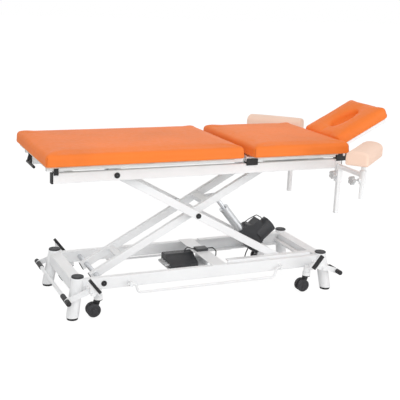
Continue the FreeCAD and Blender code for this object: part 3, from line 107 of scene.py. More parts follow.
class NodeBoard:
    """A material's node tree with short ways to add and join nodes."""

    def __init__(self, name: str) -> None:
        """Start a material with a principled shader.

        Args:
            name: The material's name.
        """
        self.material = bpy.data.materials.new(name)
        self.material.use_nodes = True
        self.tree = self.material.node_tree
        self.shader = self.tree.nodes["Principled BSDF"]
        self.coords = self.tree.nodes.new("ShaderNodeTexCoord")

    def add(self, kind: str, **sockets: object) -> bpy.types.Node:
        """Add a node and set its named inputs.

        Args:
            kind: Blender's name of the node type.
            **sockets: Input values, with underscores in place of spaces.

        Returns:
            The new node.
        """
        node = self.tree.nodes.new(kind)
        for key, value in sockets.items():
            node.inputs[key.replace("_", " ")].default_value = value
        return node

    def link(self, out: bpy.types.NodeSocket, into: bpy.types.NodeSocket) -> None:
        """Join an output to an input."""
        self.tree.links.new(out, into)

    def noise(self, scale: float, detail: float = 2.0,
              stretch: Sequence[float] = (1, 1, 1)) -> bpy.types.NodeSocket:
        """Noise over the object's own coordinates.

        Args:
            scale: Cycles per metre.
            detail: Octaves of finer noise.
            stretch: Scale of each axis, for a brushed grain.

        Returns:
            The noise value's socket.
        """
        mapping = self.add("ShaderNodeMapping", Scale=tuple(stretch))
        self.link(self.coords.outputs["Object"], mapping.inputs["Vector"])
        node = self.add("ShaderNodeTexNoise", Scale=scale, Detail=detail)
        self.link(mapping.outputs["Vector"], node.inputs["Vector"])
        return node.outputs["Fac"]

    def pebbles(self, scale: float) -> bpy.types.NodeSocket:
        """Distance to cell centres, as the pebbled grain of coated fabric."""
        node = self.add("ShaderNodeTexVoronoi", Scale=scale)
        node.feature = "SMOOTH_F1"
        self.link(self.coords.outputs["Object"], node.inputs["Vector"])
        return node.outputs["Distance"]

    def spread(self, value: bpy.types.NodeSocket, low: float, high: float) -> bpy.types.NodeSocket:
        """Map a noise value's middle range onto low to high."""
        node = self.add("ShaderNodeMapRange")
        for index, number in enumerate((0.3, 0.7, low, high), start=1):
            node.inputs[index].default_value = number
        self.link(value, node.inputs[0])
        return node.outputs[0]

    def tint(self, value: bpy.types.NodeSocket, colour: Sequence[float], swing: float) -> None:
        """Vary the base colour a little by a noise value.

        Args:
            value: The noise value.
            colour: Screen colour in the middle.
            swing: Share by which it gets darker and lighter.
        """
        ramp = self.tree.nodes.new("ShaderNodeValToRGB")
        low = [max(0.0, c * (1 - swing)) for c in colour]
        high = [min(255.0, c * (1 + swing)) for c in colour]
        ramp.color_ramp.elements[0].position = 0.3
        ramp.color_ramp.elements[1].position = 0.7
        ramp.color_ramp.elements[0].color = linear(low)
        ramp.color_ramp.elements[1].color = linear(high)
        self.link(value, ramp.inputs["Fac"])
        self.link(ramp.outputs["Color"], self.shader.inputs["Base Color"])

    def paint_below(self, level: float, colour: Sequence[float]) -> None:
        """Give everything under a height a second colour.

        Args:
            level: The height in metres.
            colour: Screen colour below it.
        """
        parts = self.add("ShaderNodeSeparateXYZ")
        self.link(self.coords.outputs["Object"], parts.inputs["Vector"])
        under = self.tree.nodes.new("ShaderNodeMath")
        under.operation = "LESS_THAN"
        under.inputs[1].default_value = level
        self.link(parts.outputs["Z"], under.inputs[0])
        mix = self.tree.nodes.new("ShaderNodeMix")
        mix.data_type = "RGBA"
        first = self.shader.inputs["Base Color"].links[0].from_socket
        self.link(under.outputs["Value"], mix.inputs["Factor"])
        self.link(first, mix.inputs[6])
        mix.inputs[7].default_value = linear(colour)
        self.link(mix.outputs[2], self.shader.inputs["Base Color"])

    def bump(self, heights: Iterable[tuple[bpy.types.NodeSocket, float, float]]) -> None:
        """Stack bump nodes, each with its height socket, strength and distance."""
        normal = None
        for height, strength, distance in heights:
            node = self.add("ShaderNodeBump", Strength=strength, Distance=distance)
            self.link(height, node.inputs["Height"])
            if normal is not None:
                self.link(normal, node.inputs["Normal"])
            normal = node.outputs["Normal"]
        if normal is not None:
            self.link(normal, self.shader.inputs["Normal"])


@dataclass(frozen=True)
class CoatedFabric:
    """Upholstery vinyl: soft pebbled grain, faint waviness and a low sheen."""

    name: str
    colour: tuple[float, float, float]
    roughness: float = 0.56
    grain: float = 620.0
    swing: float = 0.03
    gloss: float = 0.4

    def build(self) -> bpy.types.Material:
        """Make the material."""
        board = NodeBoard(self.name)
        board.tint(board.noise(3.2, 3.0), self.colour, self.swing)
        rough = board.spread(board.noise(45.0, 3.0), self.roughness - 0.05, self.roughness + 0.06)
        board.link(rough, board.shader.inputs["Roughness"])
        board.bump([
            (board.noise(7.0, 2.0), 0.10, 0.004),
            (board.pebbles(self.grain), 0.16, 0.0004),
            (board.noise(1500.0, 1.0), 0.05, 0.0002),
        ])
        board.shader.inputs["Specular IOR Level"].default_value = self.gloss
        return board.material


@dataclass(frozen=True)
class PowderCoat:
    """Baked paint on steel: fine orange peel over an even colour."""

    name: str
    colour: tuple[float, float, float]
    roughness: float = 0.36
    peel: float = 420.0

    def board(self, name: str) -> NodeBoard:
        """Return the coat's node tree under a name."""
        board = NodeBoard(name)
        board.tint(board.noise(5.0, 2.0), self.colour, 0.012)
        rough = board.spread(board.noise(30.0, 2.0), self.roughness - 0.04, self.roughness + 0.05)
        board.link(rough, board.shader.inputs["Roughness"])
        board.bump([(board.noise(self.peel, 2.0), 0.06, 0.0004)])
        return board

    def build(self) -> bpy.types.Material:
        """Make the material."""
        return self.board(self.name).material


@dataclass(frozen=True)
class MouldedPlastic:
    """Moulded plastic or rubber with a fine spark-eroded texture."""

    name: str
    colour: tuple[float, float, float]
    roughness: float = 0.5
    texture: float = 900.0
    depth: float = 0.15

    def board(self, name: str) -> NodeBoard:
        """Return the plastic's node tree under a name."""
        board = NodeBoard(name)
        board.tint(board.noise(12.0, 3.0), self.colour, 0.06)
        rough = board.spread(board.noise(60.0, 2.0), self.roughness - 0.06, self.roughness + 0.08)
        board.link(rough, board.shader.inputs["Roughness"])
        board.bump([(board.noise(self.texture, 2.0), self.depth, 0.0003)])
        return board

    def build(self) -> bpy.types.Material:
        """Make the material."""
        return self.board(self.name).material


@dataclass(frozen=True)
class TwoColour:
    """A finish whose lower part has a second colour."""

    name: str
    upper: PowderCoat | MouldedPlastic
    level: float
    lower: tuple[float, float, float]

    def build(self) -> bpy.types.Material:
        """Make the upper finish's material and paint its lower part."""
        board = self.upper.board(self.name)
        board.paint_below(self.level, self.lower)
        return board.material


@dataclass(frozen=True)
class TurnedMetal:
    """Bright metal with a drawn or turned grain."""

    name: str
    colour: tuple[float, float, float]
    roughness: float = 0.28
    stretch: tuple[float, float, float] = (1.0, 14.0, 1.0)

    def build(self) -> bpy.types.Material:
        """Make the material."""
        board = NodeBoard(self.name)
        board.tint(board.noise(20.0, 3.0), self.colour, 0.03)
        board.shader.inputs["Metallic"].default_value = 1.0
        grain = board.noise(240.0, 3.0, self.stretch)
        rough = board.spread(grain, self.roughness - 0.06, self.roughness + 0.1)
        board.link(rough, board.shader.inputs["Roughness"])
        board.bump([(grain, 0.05, 0.0002)])
        return board.material


@dataclass(frozen=True)
class Plywood:
    """Plywood with a long grain."""

    name: str
    colour: tuple[float, float, float]

    def build(self) -> bpy.types.Material:
        """Make the material."""
        board = NodeBoard(self.name)
        grain = board.noise(14.0, 6.0, (1.0, 9.0, 9.0))
        board.tint(grain, self.colour, 0.16)
        board.shader.inputs["Roughness"].default_value = 0.62
        board.bump([(grain, 0.12, 0.0006)])
        return board.material


class Finish(Enum):
    """Every finish on the table."""

    ORANGE = CoatedFabric("orange_coated_fabric", (248, 127, 42))
    APRICOT = CoatedFabric("apricot_coated_fabric", (252, 218, 197), 0.56, 620.0, 0.015)
    STITCH = CoatedFabric("orange_seam", (190, 78, 24), 0.6, 900.0, 0.05)
    WHITE = PowderCoat("white_powder_coat", (246, 247, 248))
    MOTOR = PowderCoat("motor_grey_paint", (50, 51, 54), 0.5)
    BLACK = MouldedPlastic("black_moulding", (26, 26, 28), 0.5)
    CAP = TwoColour("cap_plastic", MouldedPlastic("leg_cap", (50, 51, 54), 0.6), 0.175, (24, 24, 26))
    FORK = TwoColour("fork_finish", PowderCoat("fork_coat", (246, 247, 248)), 0.0937, (28, 28, 30))
    DARK = MouldedPlastic("dark_grey_plastic", (58, 59, 62), 0.46)
    PALE = MouldedPlastic("pale_grey_plastic", (196, 197, 198), 0.5)
    TYRE = MouldedPlastic("castor_rubber", (52, 52, 55), 0.62, 700.0, 0.25)
    RUBBER = MouldedPlastic("foot_rubber", (40, 40, 42), 0.7, 700.0, 0.3)
    STEEL = TurnedMetal("bright_steel", (205, 207, 210))
    SCREW = TurnedMetal("blackened_steel", (84, 85, 88), 0.42)
    CHROME = TurnedMetal("rod_chrome", (225, 227, 230), 0.14)
    ALUMINIUM = TurnedMetal("drawn_aluminium", (214, 216, 218), 0.34, (14.0, 1.0, 1.0))
    BOARD = Plywood("pale_plywood", (222, 216, 204))

    def material(self) -> bpy.types.Material:
        """Return this finish's material, built once."""
        found = bpy.data.materials.get(self.value.name)
        return found or self.value.build()


NODE_FINISH: dict[Finish, tuple[str, ...]] = {
    Finish.WHITE: (
        "legs", "base_rails", "base_cross_members", "inner_arms", "outer_arms", "inner_cross",
        "outer_cross", "top_rails", "section_a_frame", "section_b_frame", "head_frame",
        "arm_sockets", "armrest_arm_near", "armrest_arm_far", "pad_post_near", "pad_post_far",
        "castor_rocker_foot", "castor_rocker_head", "foot_bar_near", "foot_bar_far"),
    Finish.FORK: ("castor_fork_foot_near", "castor_fork_foot_far", "castor_fork_head_near",
                  "castor_fork_head_far"),
    Finish.BLACK: ("rest_blocks", "inner_arm_caps", "outer_arm_caps", "rocker_grips_foot",
                   "rocker_grips_head", "release_lever"),
    Finish.CAP: ("base_caps",),
    Finish.DARK: ("control_box",),
    Finish.PALE: ("control_plugs", "knob_low_near", "knob_low_far", "knob_high_near", "knob_high_far"),
    Finish.TYRE: ("castor_wheel_foot_near", "castor_wheel_foot_far", "castor_wheel_head_near",
                  "castor_wheel_head_far"),
    Finish.RUBBER: ("rubber_feet", "actuator_cable", "switch_cable", "motor_lead"),
    Finish.MOTOR: ("actuator_case",),
    Finish.ALUMINIUM: ("actuator_tube",),
    Finish.CHROME: ("actuator_rod",),
    Finish.STEEL: ("lower_pivot_axle", "upper_pivot_axle", "centre_axle", "lower_rollers", "upper_rollers"),
    Finish.BOARD: ("section_a_board", "section_b_board"),
}


def dress(piece: bpy.types.Object, finish: Finish) -> None:
    """Give a piece one finish."""
    piece.data.materials.clear()
    piece.data.materials.append(finish.material())


def mesh_piece(name: str, points: np.ndarray, faces: np.ndarray | list,
               smooth: bool = True) -> bpy.types.Object:
    """Put points and faces into a new object.

    Args:
        name: The object's name.
        points: Vertex places, one row each.
        faces: Vertex numbers of each face.
        smooth: Whether faces shade smoothly.

    Returns:
        The new object, at the origin.
    """
    mesh = bpy.data.meshes.new(name)
    rows = faces.tolist() if isinstance(faces, np.ndarray) else faces
    mesh.from_pydata(points.reshape(-1, 3).tolist(), [], rows)
    mesh.update()
    work = bmesh.new()
    work.from_mesh(mesh)
    bmesh.ops.remove_doubles(work, verts=work.verts, dist=1e-7)
    bmesh.ops.recalc_face_normals(work, faces=work.faces)
    work.to_mesh(mesh)
    work.free()
    mesh.polygons.foreach_set("use_smooth", [smooth] * len(mesh.polygons))
    piece = bpy.data.objects.new(name, mesh)
    bpy.context.scene.collection.objects.link(piece)
    return piece


def grid_faces(rows: int, columns: int, close_rows: bool, close_columns: bool) -> np.ndarray:
    """Quads that join neighbouring points of a grid.

    Args:
        rows: Number of rows.
        columns: Number of columns.
        close_rows: Whether the last row joins the first.
        close_columns: Whether the last column joins the first.

    Returns:
        Vertex numbers, four per face.
    """
    number = np.arange(rows * columns).reshape(rows, columns)
    down = np.roll(number, -1, axis=0)
    right = np.roll(number, -1, axis=1)
    both = np.roll(down, -1, axis=1)
    quads = np.stack([number, right, both, down], axis=-1)
    quads = quads[: rows if close_rows else rows - 1, : columns if close_columns else columns - 1]
    return quads.reshape(-1, 4)


def rounded_outline(half_x: float, half_y: float, radius: float, count: int) -> np.ndarray:
    """Points evenly spaced round a rectangle with rounded corners.

    Each corner is a quarter circle about a point one radius inside it, and the straight
    sides join the quarters; the whole line is then sampled by its running length.

    Args:
        half_x: Half the length.
        half_y: Half the width.
        radius: Corner radius.
        count: Number of points.

    Returns:
        An array of count points in the plane.
    """
    quarter = np.linspace(0, math.pi / 2, 13)
    signs = ((1, 1), (-1, 1), (-1, -1), (1, -1))
    corners = [np.stack([sx * (half_x - radius) + radius * np.cos(quarter + turn * math.pi / 2),
                         sy * (half_y - radius) + radius * np.sin(quarter + turn * math.pi / 2)], axis=1)
               for turn, (sx, sy) in enumerate(signs)]
    line = np.concatenate(corners + [corners[0][:1]])
    steps = np.linalg.norm(np.diff(line, axis=0), axis=1)
    run = np.concatenate([[0.0], np.cumsum(steps)])
    places = np.linspace(0, run[-1], count, endpoint=False)
    return np.stack([np.interp(places, run, line[:, 0]), np.interp(places, run, line[:, 1])], axis=1)


def tube_along(path: np.ndarray, radius: float, sides: int = 10) -> tuple[np.ndarray, np.ndarray]:
    """A round tube along a line of points, with rings square to the line.

    Each ring is the circle path + radius (cos a * u + sin a * v), where u and v are square
    to the line's direction there; both ends shrink to a point.

    Args:
        path: Points along the middle.
        radius: Tube radius.
        sides: Points in each ring.

    Returns:
        Vertex places and faces.
    """
    way = np.gradient(path, axis=0)
    way /= np.linalg.norm(way, axis=1, keepdims=True)
    helper = np.where(np.abs(way[:, 2:3]) < 0.9, [[0.0, 0.0, 1.0]], [[1.0, 0.0, 0.0]])
    u = np.cross(way, helper)
    u /= np.linalg.norm(u, axis=1, keepdims=True)
    v = np.cross(way, u)
    turn = np.linspace(0, 2 * math.pi, sides, endpoint=False)
    ring = u[:, None, :] * np.cos(turn)[None, :, None] + v[:, None, :] * np.sin(turn)[None, :, None]
    body = path[:, None, :] + radius * ring
    closed = np.concatenate([np.repeat(path[:1, None], sides, axis=1), body,
                             np.repeat(path[-1:, None], sides, axis=1)])
    return closed, grid_faces(len(closed), sides, False, True)


@dataclass
class SoftPad:
    """A stuffed pad, built about its own base and then set in place."""

    name: str
    node: str
    body: str
    place: Matrix
    finish: Finish
    voxel: float = 0.008
    cap: float = 0.006
    held_height: float = 0.006
    pressure: float = 4.0
    seam_depth: float = 0.0016
    seam_spread: float = 0.0055
    thread_radius: float = 0.0009
    seams: list[np.ndarray] = field(default_factory=list)
    piece: bpy.types.Object | None = None

    def shape(self) -> tuple[np.ndarray, np.ndarray]:
        """Return the pad's points and faces about its own base."""
        raise NotImplementedError

    def build(self) -> None:
        """Make the pad's mesh and rebuild it in even faces."""
        points, faces = self.shape()
        self.piece = mesh_piece(self.name, points, faces)
        remesh = self.piece.modifiers.new("even_faces", "REMESH")
        remesh.mode = "VOXEL"
        remesh.voxel_size = self.voxel
        self.settle()
        self.piece.data.polygons.foreach_set("use_smooth", [True] * len(self.piece.data.polygons))
        LOG.info("%s: %d faces before stuffing", self.name, len(self.piece.data.polygons))

    def settle(self) -> None:
        """Turn the piece's modifiers into its mesh."""
        graph = bpy.context.evaluated_depsgraph_get()
        fresh = bpy.data.meshes.new_from_object(self.piece.evaluated_get(graph))
        self.piece.modifiers.clear()
        old = self.piece.data
        self.piece.data = fresh
        bpy.data.meshes.remove(old)

    def places(self) -> np.ndarray:
        """Return the mesh's vertex places."""
        flat = np.empty(len(self.piece.data.vertices) * 3)
        self.piece.data.vertices.foreach_get("co", flat)
        return flat.reshape(-1, 3)

    def stuff(self) -> None:
        """Add cloth with inner pressure, held along its base."""
        places = self.places()
        held = self.piece.vertex_groups.new(name="held")
        held.add(np.nonzero(places[:, 2] < self.held_height)[0].tolist(), 1.0, "REPLACE")
        cloth = self.piece.modifiers.new("stuffing", "CLOTH")
        cloth.settings.quality = 5
        cloth.settings.mass = 0.3
        cloth.settings.tension_stiffness = 12
        cloth.settings.compression_stiffness = 12
        cloth.settings.shear_stiffness = 4
        cloth.settings.bending_stiffness = 4
        cloth.settings.use_pressure = True
        cloth.settings.uniform_pressure_force = self.pressure
        cloth.settings.vertex_group_mass = "held"
        cloth.settings.effector_weights.gravity = 0
        cloth.collision_settings.use_collision = False

    def take(self, before: np.ndarray) -> None:
        """Keep the stuffed shape, with each point's move capped.

        Args:
            before: Vertex places before the pressure.
        """
        graph = bpy.context.evaluated_depsgraph_get()
        stuffed = self.piece.evaluated_get(graph).to_mesh()
        flat = np.empty(len(stuffed.vertices) * 3)
        stuffed.vertices.foreach_get("co", flat)
        self.piece.evaluated_get(graph).to_mesh_clear()
        move = flat.reshape(-1, 3) - before
        size = np.linalg.norm(move, axis=1, keepdims=True)
        move *= np.minimum(1.0, self.cap / np.maximum(size, 1e-9))
        self.piece.modifiers.clear()
        self.piece.vertex_groups.clear()
        self.piece.data.vertices.foreach_set("co", (before + move).ravel())
        self.piece.data.update()
        LOG.info("%s: stuffed, largest move %.1f mm", self.name, float(size.max()) / MM)

    def finish_mesh(self) -> None:
        """Smooth, subdivide, press the seams in and set the pad in place."""
        smooth = self.piece.modifiers.new("relax", "SMOOTH")
        smooth.factor = 0.5
        smooth.iterations = 3
        finer = self.piece.modifiers.new("finer", "SUBSURF")
        finer.levels = 1
        finer.render_levels = 1
        self.settle()
        self.press_seams()
        self.piece.data.transform(self.place)
        self.piece.data.polygons.foreach_set("use_smooth", [True] * len(self.piece.data.polygons))
        self.piece.data.update()
        dress(self.piece, self.finish)
        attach(self.piece, self.body)
        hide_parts(self.node)
        LOG.info("%s: %d faces", self.name, len(self.piece.data.polygons))

    def press_seams(self) -> None:
        """Draw the surface in along each seam by a bell curve of the distance to it."""
        if not self.seams:
            return
        places = self.places()
        normals = np.empty(len(places) * 3)
        self.piece.data.vertices.foreach_get("normal", normals)
        normals = normals.reshape(-1, 3)
        snapped = [self.snap(seam) for seam in self.seams]
        nearest = np.full(len(places), 1.0)
        for seam in snapped:
            gaps = np.linalg.norm(places[:, None, :] - seam[None, :, :], axis=2).min(axis=1)
            nearest = np.minimum(nearest, gaps)
        depth = self.seam_depth * np.exp(-(nearest / self.seam_spread) ** 2)
        self.piece.data.vertices.foreach_set("co", (places - normals * depth[:, None]).ravel())
        self.piece.data.update()
        for index, seam in enumerate(self.snap(seam) for seam in self.seams):
            points, faces = tube_along(seam, self.thread_radius, 8)
            thread = mesh_piece(f"{self.name}_seam_{index}", points, faces)
            thread.data.transform(self.place)
            dress(thread, Finish.STITCH)
            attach(thread, self.body)

    def snap(self, line: np.ndarray) -> np.ndarray:
        """Move a line's points onto the pad's surface.

        Args:
            line: Points near the surface.

        Returns:
            The nearest surface points.
        """
        work = bmesh.new()
        work.from_mesh(self.piece.data)
        tree = BVHTree.FromBMesh(work)
        found = np.array([tree.find_nearest(Vector(point))[0] for point in line])
        work.free()
        return found


@dataclass
class FlatCushion(SoftPad):
    """A board-backed cushion with square corners and a full rounded top edge."""

    half_x: float = 0.4955
    half_y: float = 0.325
    height: float = 0.062
    corner: float = 0.011
    top_edge: float = 0.020
    low_edge: float = 0.006
    shrink: float = 0.0028
    crown: float = 0.002
    least_corner: float = 0.004
    around: int = 240

    def shape(self) -> tuple[np.ndarray, np.ndarray]:
        """Return the cushion as rings from the middle of the base to the middle of the top.

        Each ring is the outline drawn in by an inset, at a height; the inset and height
        follow a quarter circle at the low edge and a larger one at the top edge.
        """
        hx, hy = self.half_x - self.shrink, self.half_y - self.shrink
        top = self.height - self.shrink
        low_turn = np.linspace(-math.pi / 2, 0, 5)
        top_turn = np.linspace(0, math.pi / 2, 9)
        insets = np.concatenate([self.low_edge * (1 - np.cos(low_turn)),
                                 self.top_edge * (1 - np.cos(top_turn))])
        heights = np.concatenate([self.low_edge * (1 + np.sin(low_turn)),
                                  top - self.top_edge + self.top_edge * np.sin(top_turn)])
        count = self.around
        radii = np.maximum(self.corner - insets * 0.5, self.least_corner)
        rings = [np.column_stack([rounded_outline(hx - d, hy - d, r, count), np.full(count, h)])
                 for d, h, r in zip(insets, heights, radii)]
        shares = np.linspace(1, 0, 14)[1:]
        low_rings = [np.column_stack([rings[0][:, :2] * k, np.zeros(count)]) for k in shares[::-1]]
        top_rings = [np.column_stack([rings[-1][:, :2] * k, np.full(count, top)]) for k in shares]
        points = np.stack(low_rings + rings + top_rings)
        rise = (1 - (points[..., 0] / hx) ** 2) * (1 - (points[..., 1] / hy) ** 2)
        points[..., 2] += self.crown * np.clip(rise, 0, 1) * (points[..., 2] / top) ** 2
        return points, grid_faces(len(points), count, False, True)

    def corner_seams(self) -> None:
        """Add a seam down each corner, from the top edge to the base."""
        height = np.linspace(0.004, self.height - 0.012, 22)
        self.seams = [np.column_stack([np.full(22, sx * (self.half_x + 0.004)),
                                       np.full(22, sy * (self.half_y + 0.004)), height])
                      for sx in (-1, 1) for sy in (-1, 1)]


@dataclass
class FaceCushion(SoftPad):
    """The head cushion with its oval opening for the face."""

    half_x: float = 0.1725
    half_y: float = 0.172
    height: float = 0.065
    corner: float = 0.016
    edge: float = 0.018
    rim: float = 0.02
    low_edge: float = 0.007
    slot_half_x: float = 0.086
    slot_half_y: float = 0.044
    shrink: float = 0.003
    crown: float = 0.002

    def shape(self) -> tuple[np.ndarray, np.ndarray]:
        """Return the cushion as a closed loop swept round its opening.

        The loop runs up the outer side, over the top, down the wall of the opening and
        back along the base. Each of its points is a share of the way between the outer
        outline and the opening's ellipse, at a height.
        """
        count = 200
        hx, hy, top = self.half_x - self.shrink, self.half_y - self.shrink, self.height - self.shrink
        outer = rounded_outline(hx, hy, self.corner, count)
        turn = np.arctan2(outer[:, 1] / hy, outer[:, 0] / hx)
        inner = np.stack([(self.slot_half_x + self.shrink) * np.cos(turn),
                          (self.slot_half_y + self.shrink) * np.sin(turn)], axis=1)
        span = np.linalg.norm(outer - inner, axis=1)
        low = np.linspace(-math.pi / 2, 0, 4)
        high = np.linspace(0, math.pi / 2, 8)
        loop = [(self.low_edge * (1 - math.cos(a)), self.low_edge * (1 + math.sin(a)), 0) for a in low]
        loop += [(self.edge * (1 - math.cos(a)), top - self.edge + self.edge * math.sin(a), 0) for a in high]
        loop += [(self.rim * (1 - math.cos(a)), top - self.rim + self.rim * math.sin(a), 1)
                 for a in high[::-1]]
        loop += [(self.low_edge * (1 - math.cos(a)), self.low_edge * (1 + math.sin(a)), 1) for a in low[::-1]]
        rows = []
        for inset, z, from_inner in loop:
            share = inset / span
            share = 1 - share if from_inner else share
            ring = outer * (1 - share[:, None]) + inner * share[:, None]
            rows.append(np.column_stack([ring, np.full(count, z)]))
        over, under = rows[11][:, :2], rows[12][:, :2]
        middle = [np.column_stack([over * (1 - k) + under * k,
                                   np.full(count, top + self.crown * math.sin(k * math.pi))])
                  for k in (0.2, 0.4, 0.6, 0.8)]
        points = np.stack(rows[:12] + middle + rows[12:])
        return points, grid_faces(len(points), count, True, True)

    def corner_seams(self) -> None:
        """Add a seam down each outer corner."""
        height = np.linspace(0.004, self.height - 0.012, 18)
        self.seams = [np.column_stack([np.full(18, sx * (self.half_x + 0.002)),
                                       np.full(18, sy * (self.half_y + 0.002)), height])
                      for sx in (-1, 1) for sy in (-1, 1)]


@dataclass
class ArmBolster(SoftPad):
    """An armrest with upright sides and a domed top."""

    half_length: float = 0.166
    half_width: float = 0.06
    side: float = 0.044
    height: float = 0.08
    end_edge: float = 0.012
    shrink: float = 0.0025

    def shape(self) -> tuple[np.ndarray, np.ndarray]:
        """Return the bolster as one cross-section carried along its length.

        The section is a flat base, two upright sides and an arch whose height follows
        a circle's; near both ends it draws in along a quarter circle and then closes.
        """
        w, top = self.half_width - self.shrink, self.height - self.shrink
        arch = np.linspace(0, math.pi, 41)
        rise = top - self.side
        dome = np.column_stack([w * np.cos(arch), self.side + rise * np.sin(arch) ** 0.85])
        left = np.column_stack([np.full(9, -w), np.linspace(self.side, 0.006, 10)[1:]])
        base = np.column_stack([np.linspace(-w + 0.004, w - 0.004, 19), np.zeros(19)])
        right = np.column_stack([np.full(9, w), np.linspace(0.006, self.side, 10)[:-1]])
        section = np.concatenate([dome, left, base, right])
        middle = np.array([0.0, top * 0.45])
        turn = np.linspace(0, math.pi / 2, 7)
        ends = self.end_edge * (1 - np.cos(turn))
        length = self.half_length - self.shrink
        straight = length - self.end_edge
        rows_x = straight + self.end_edge * np.sin(turn)
        x = np.concatenate([-rows_x[::-1], np.linspace(-straight, straight, 40)[1:-1], rows_x])
        inset = np.concatenate([ends[::-1], np.zeros(38), ends])
        away = section - middle
        reach = np.linalg.norm(away, axis=1, keepdims=True)
        rings = [np.column_stack([np.full(len(section), xi), middle + away * (1 - d / reach)])
                 for xi, d in zip(x, inset)]
        ends_of_run = ((x[0], rings[0], (0.0, 0.35, 0.7)), (x[-1], rings[-1], (0.7, 0.35, 0.0)))
        caps = [[np.column_stack([np.full(len(section), xi), middle + (ring[:, 1:] - middle) * k])
                 for k in shares] for xi, ring, shares in ends_of_run]
        points = np.stack(caps[0] + rings + caps[1])
        return points, grid_faces(len(points), len(section), False, True)


@dataclass
class Upholstery:
    """All the soft pads of the table."""

    head_tilt: float = 27.2
    head_hinge: tuple[float, float, float] = (1610.0, 0.0, 735.887)
    head_reach: float = 0.1925
    head_rise: float = 0.017
    armrest_turn: float = 42.0
    armrest_place: tuple[float, float, float] = (1577.0, 464.0, 751.89)
    proud: float = 0.005
    proud_side: float = 0.003
    frames: int = 20
    pads: list[SoftPad] = field(default_factory=list)

    def build(self) -> None:
        """Make every pad, stuff them together and set them in place."""
        self.pads = [self.section("section_a_cushion", "section_a_pad", "section_a"),
                     self.section("section_b_cushion", "section_b_pad", "top_frame"),
                     self.head(), self.armrest(Side.NEAR), self.armrest(Side.FAR)]
        for pad in self.pads:
            pad.build()
        self.stuff_all()
        for pad in self.pads:
            pad.finish_mesh()

    def stuff_all(self) -> None:
        """Run the pressure on every pad over the same frames."""
        before = [pad.places() for pad in self.pads]
        for pad in self.pads:
            pad.stuff()
        for number in range(1, self.frames + 1):
            bpy.context.scene.frame_set(number)
        for pad, places in zip(self.pads, before):
            pad.take(places)
        bpy.context.scene.frame_set(1)

    def section(self, name: str, node: str, body: str) -> FlatCushion:
        """Return a flat cushion over a section's solid, proud of it at its outer end and sides."""
        low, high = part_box(node)
        at_foot = self.proud if body == "section_a" else 0.0
        low = low - Vector((at_foot, self.proud_side, 0.0))
        high = high + Vector((self.proud - at_foot, self.proud_side, 0.0))
        middle = (low + high) / 2
        pad = FlatCushion(name, node, body, Matrix.Translation((middle.x, middle.y, low.z)), Finish.ORANGE,
                          half_x=(high.x - low.x) / 2, half_y=(high.y - low.y) / 2, height=high.z - low.z)
        pad.corner_seams()
        return pad

    def head(self) -> FaceCushion:
        """Return the head cushion, tilted about its hinge."""
        tilt = Matrix.Rotation(-math.radians(self.head_tilt), 4, "Y")
        reach = Matrix.Translation((self.head_reach, 0, self.head_rise))
        place = Matrix.Translation(at(*self.head_hinge)) @ tilt @ reach
        pad = FaceCushion("head_cushion", "head_pad", "head", place, Finish.ORANGE, voxel=0.006, cap=0.005)
        pad.corner_seams()
        return pad

    def armrest(self, side: Side) -> ArmBolster:
        """Return the armrest of one side, turned towards the head end."""
        turn = Matrix.Rotation(math.radians(-self.armrest_turn * side.value), 4, "Z")
        x, y, z = self.armrest_place
        place = Matrix.Translation(at(x, y * side.value, z)) @ turn
        label = side.name.lower()
        return ArmBolster(f"armrest_bolster_{label}", f"armrest_pad_{label}", f"armrest_pad_{label}", place,
                          Finish.APRICOT, voxel=0.006, cap=0.004)


@dataclass
class Fasteners:
    """Hexagon socket screws in the black pivot caps."""

    radius: float = 0.0036
    height: float = 0.0022
    pivots: tuple[tuple[str, str, float, float, float], ...] = (
        ("lower", "base", 305.0, 158.0, 234.0),
        ("upper", "top_frame", 361.6, 688.9, 234.0),
        ("centre", "outer_arms", 818.1, 438.9, 169.0),
    )

    def build(self) -> None:
        """Make one screw at each pivot on both sides."""
        for label, body, x, z, face in self.pivots:
            for side in Side:
                piece = self.screw(f"{label}_pivot_screw_{side.name.lower()}")
                turn = Matrix.Rotation(math.radians(-90 * side.value), 4, "X")
                piece.data.transform(Matrix.Translation(at(x, face * side.value, z)) @ turn)
                dress(piece, Finish.SCREW)
                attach(piece, body)
                LOG.info("%s placed", piece.name)

    def screw(self, name: str) -> bpy.types.Object:
        """Turn a domed head with a hexagonal socket about its axis.

        The head is a profile of radius against height turned once about Z; inside the rim
        the radius follows a hexagon, so the socket has six flats.

        Args:
            name: The piece's name.

        Returns:
            The screw head.
        """
        sides = 48
        turn = np.linspace(0, 2 * math.pi, sides, endpoint=False)
        flat = math.cos(math.pi / 6) / np.cos((turn + math.pi / 6) % (math.pi / 3) - math.pi / 6)
        profile = [(0.0, -0.0006, 0), (1.0, -0.0006, 0), (1.0, 0.55, 0), (0.94, 0.82, 0), (0.78, 1.0, 0),
                   (0.52, 1.0, 1), (0.5, 0.35, 1), (0.0, 0.3, 0)]
        rows = [np.stack([np.cos(turn) * r * self.radius * (flat if six else 1.0),
                          np.sin(turn) * r * self.radius * (flat if six else 1.0),
                          np.full(sides, h * self.height)], axis=1) for r, h, six in profile]
        points = np.stack(rows)
        return mesh_piece(name, points, grid_faces(len(points), sides, False, True), smooth=False)


def turned(name: str, profile: Sequence[tuple[float, float]], sides: int = 40) -> bpy.types.Object:
    """Turn a profile of radius against height once about Z.

    Args:
        name: The piece's name.
        profile: Radius and height of each ring, from the base to the top.
        sides: Points round each ring.

    Returns:
        The turned piece, at the origin.
    """
    turn = np.linspace(0, 2 * math.pi, sides, endpoint=False)
    radius = np.array([r for r, _ in profile])[:, None]
    height = np.array([h for _, h in profile])[:, None]
    points = np.stack([radius * np.cos(turn), radius * np.sin(turn), height + 0 * turn], axis=2)
    return mesh_piece(name, points, grid_faces(len(profile), sides, False, True))


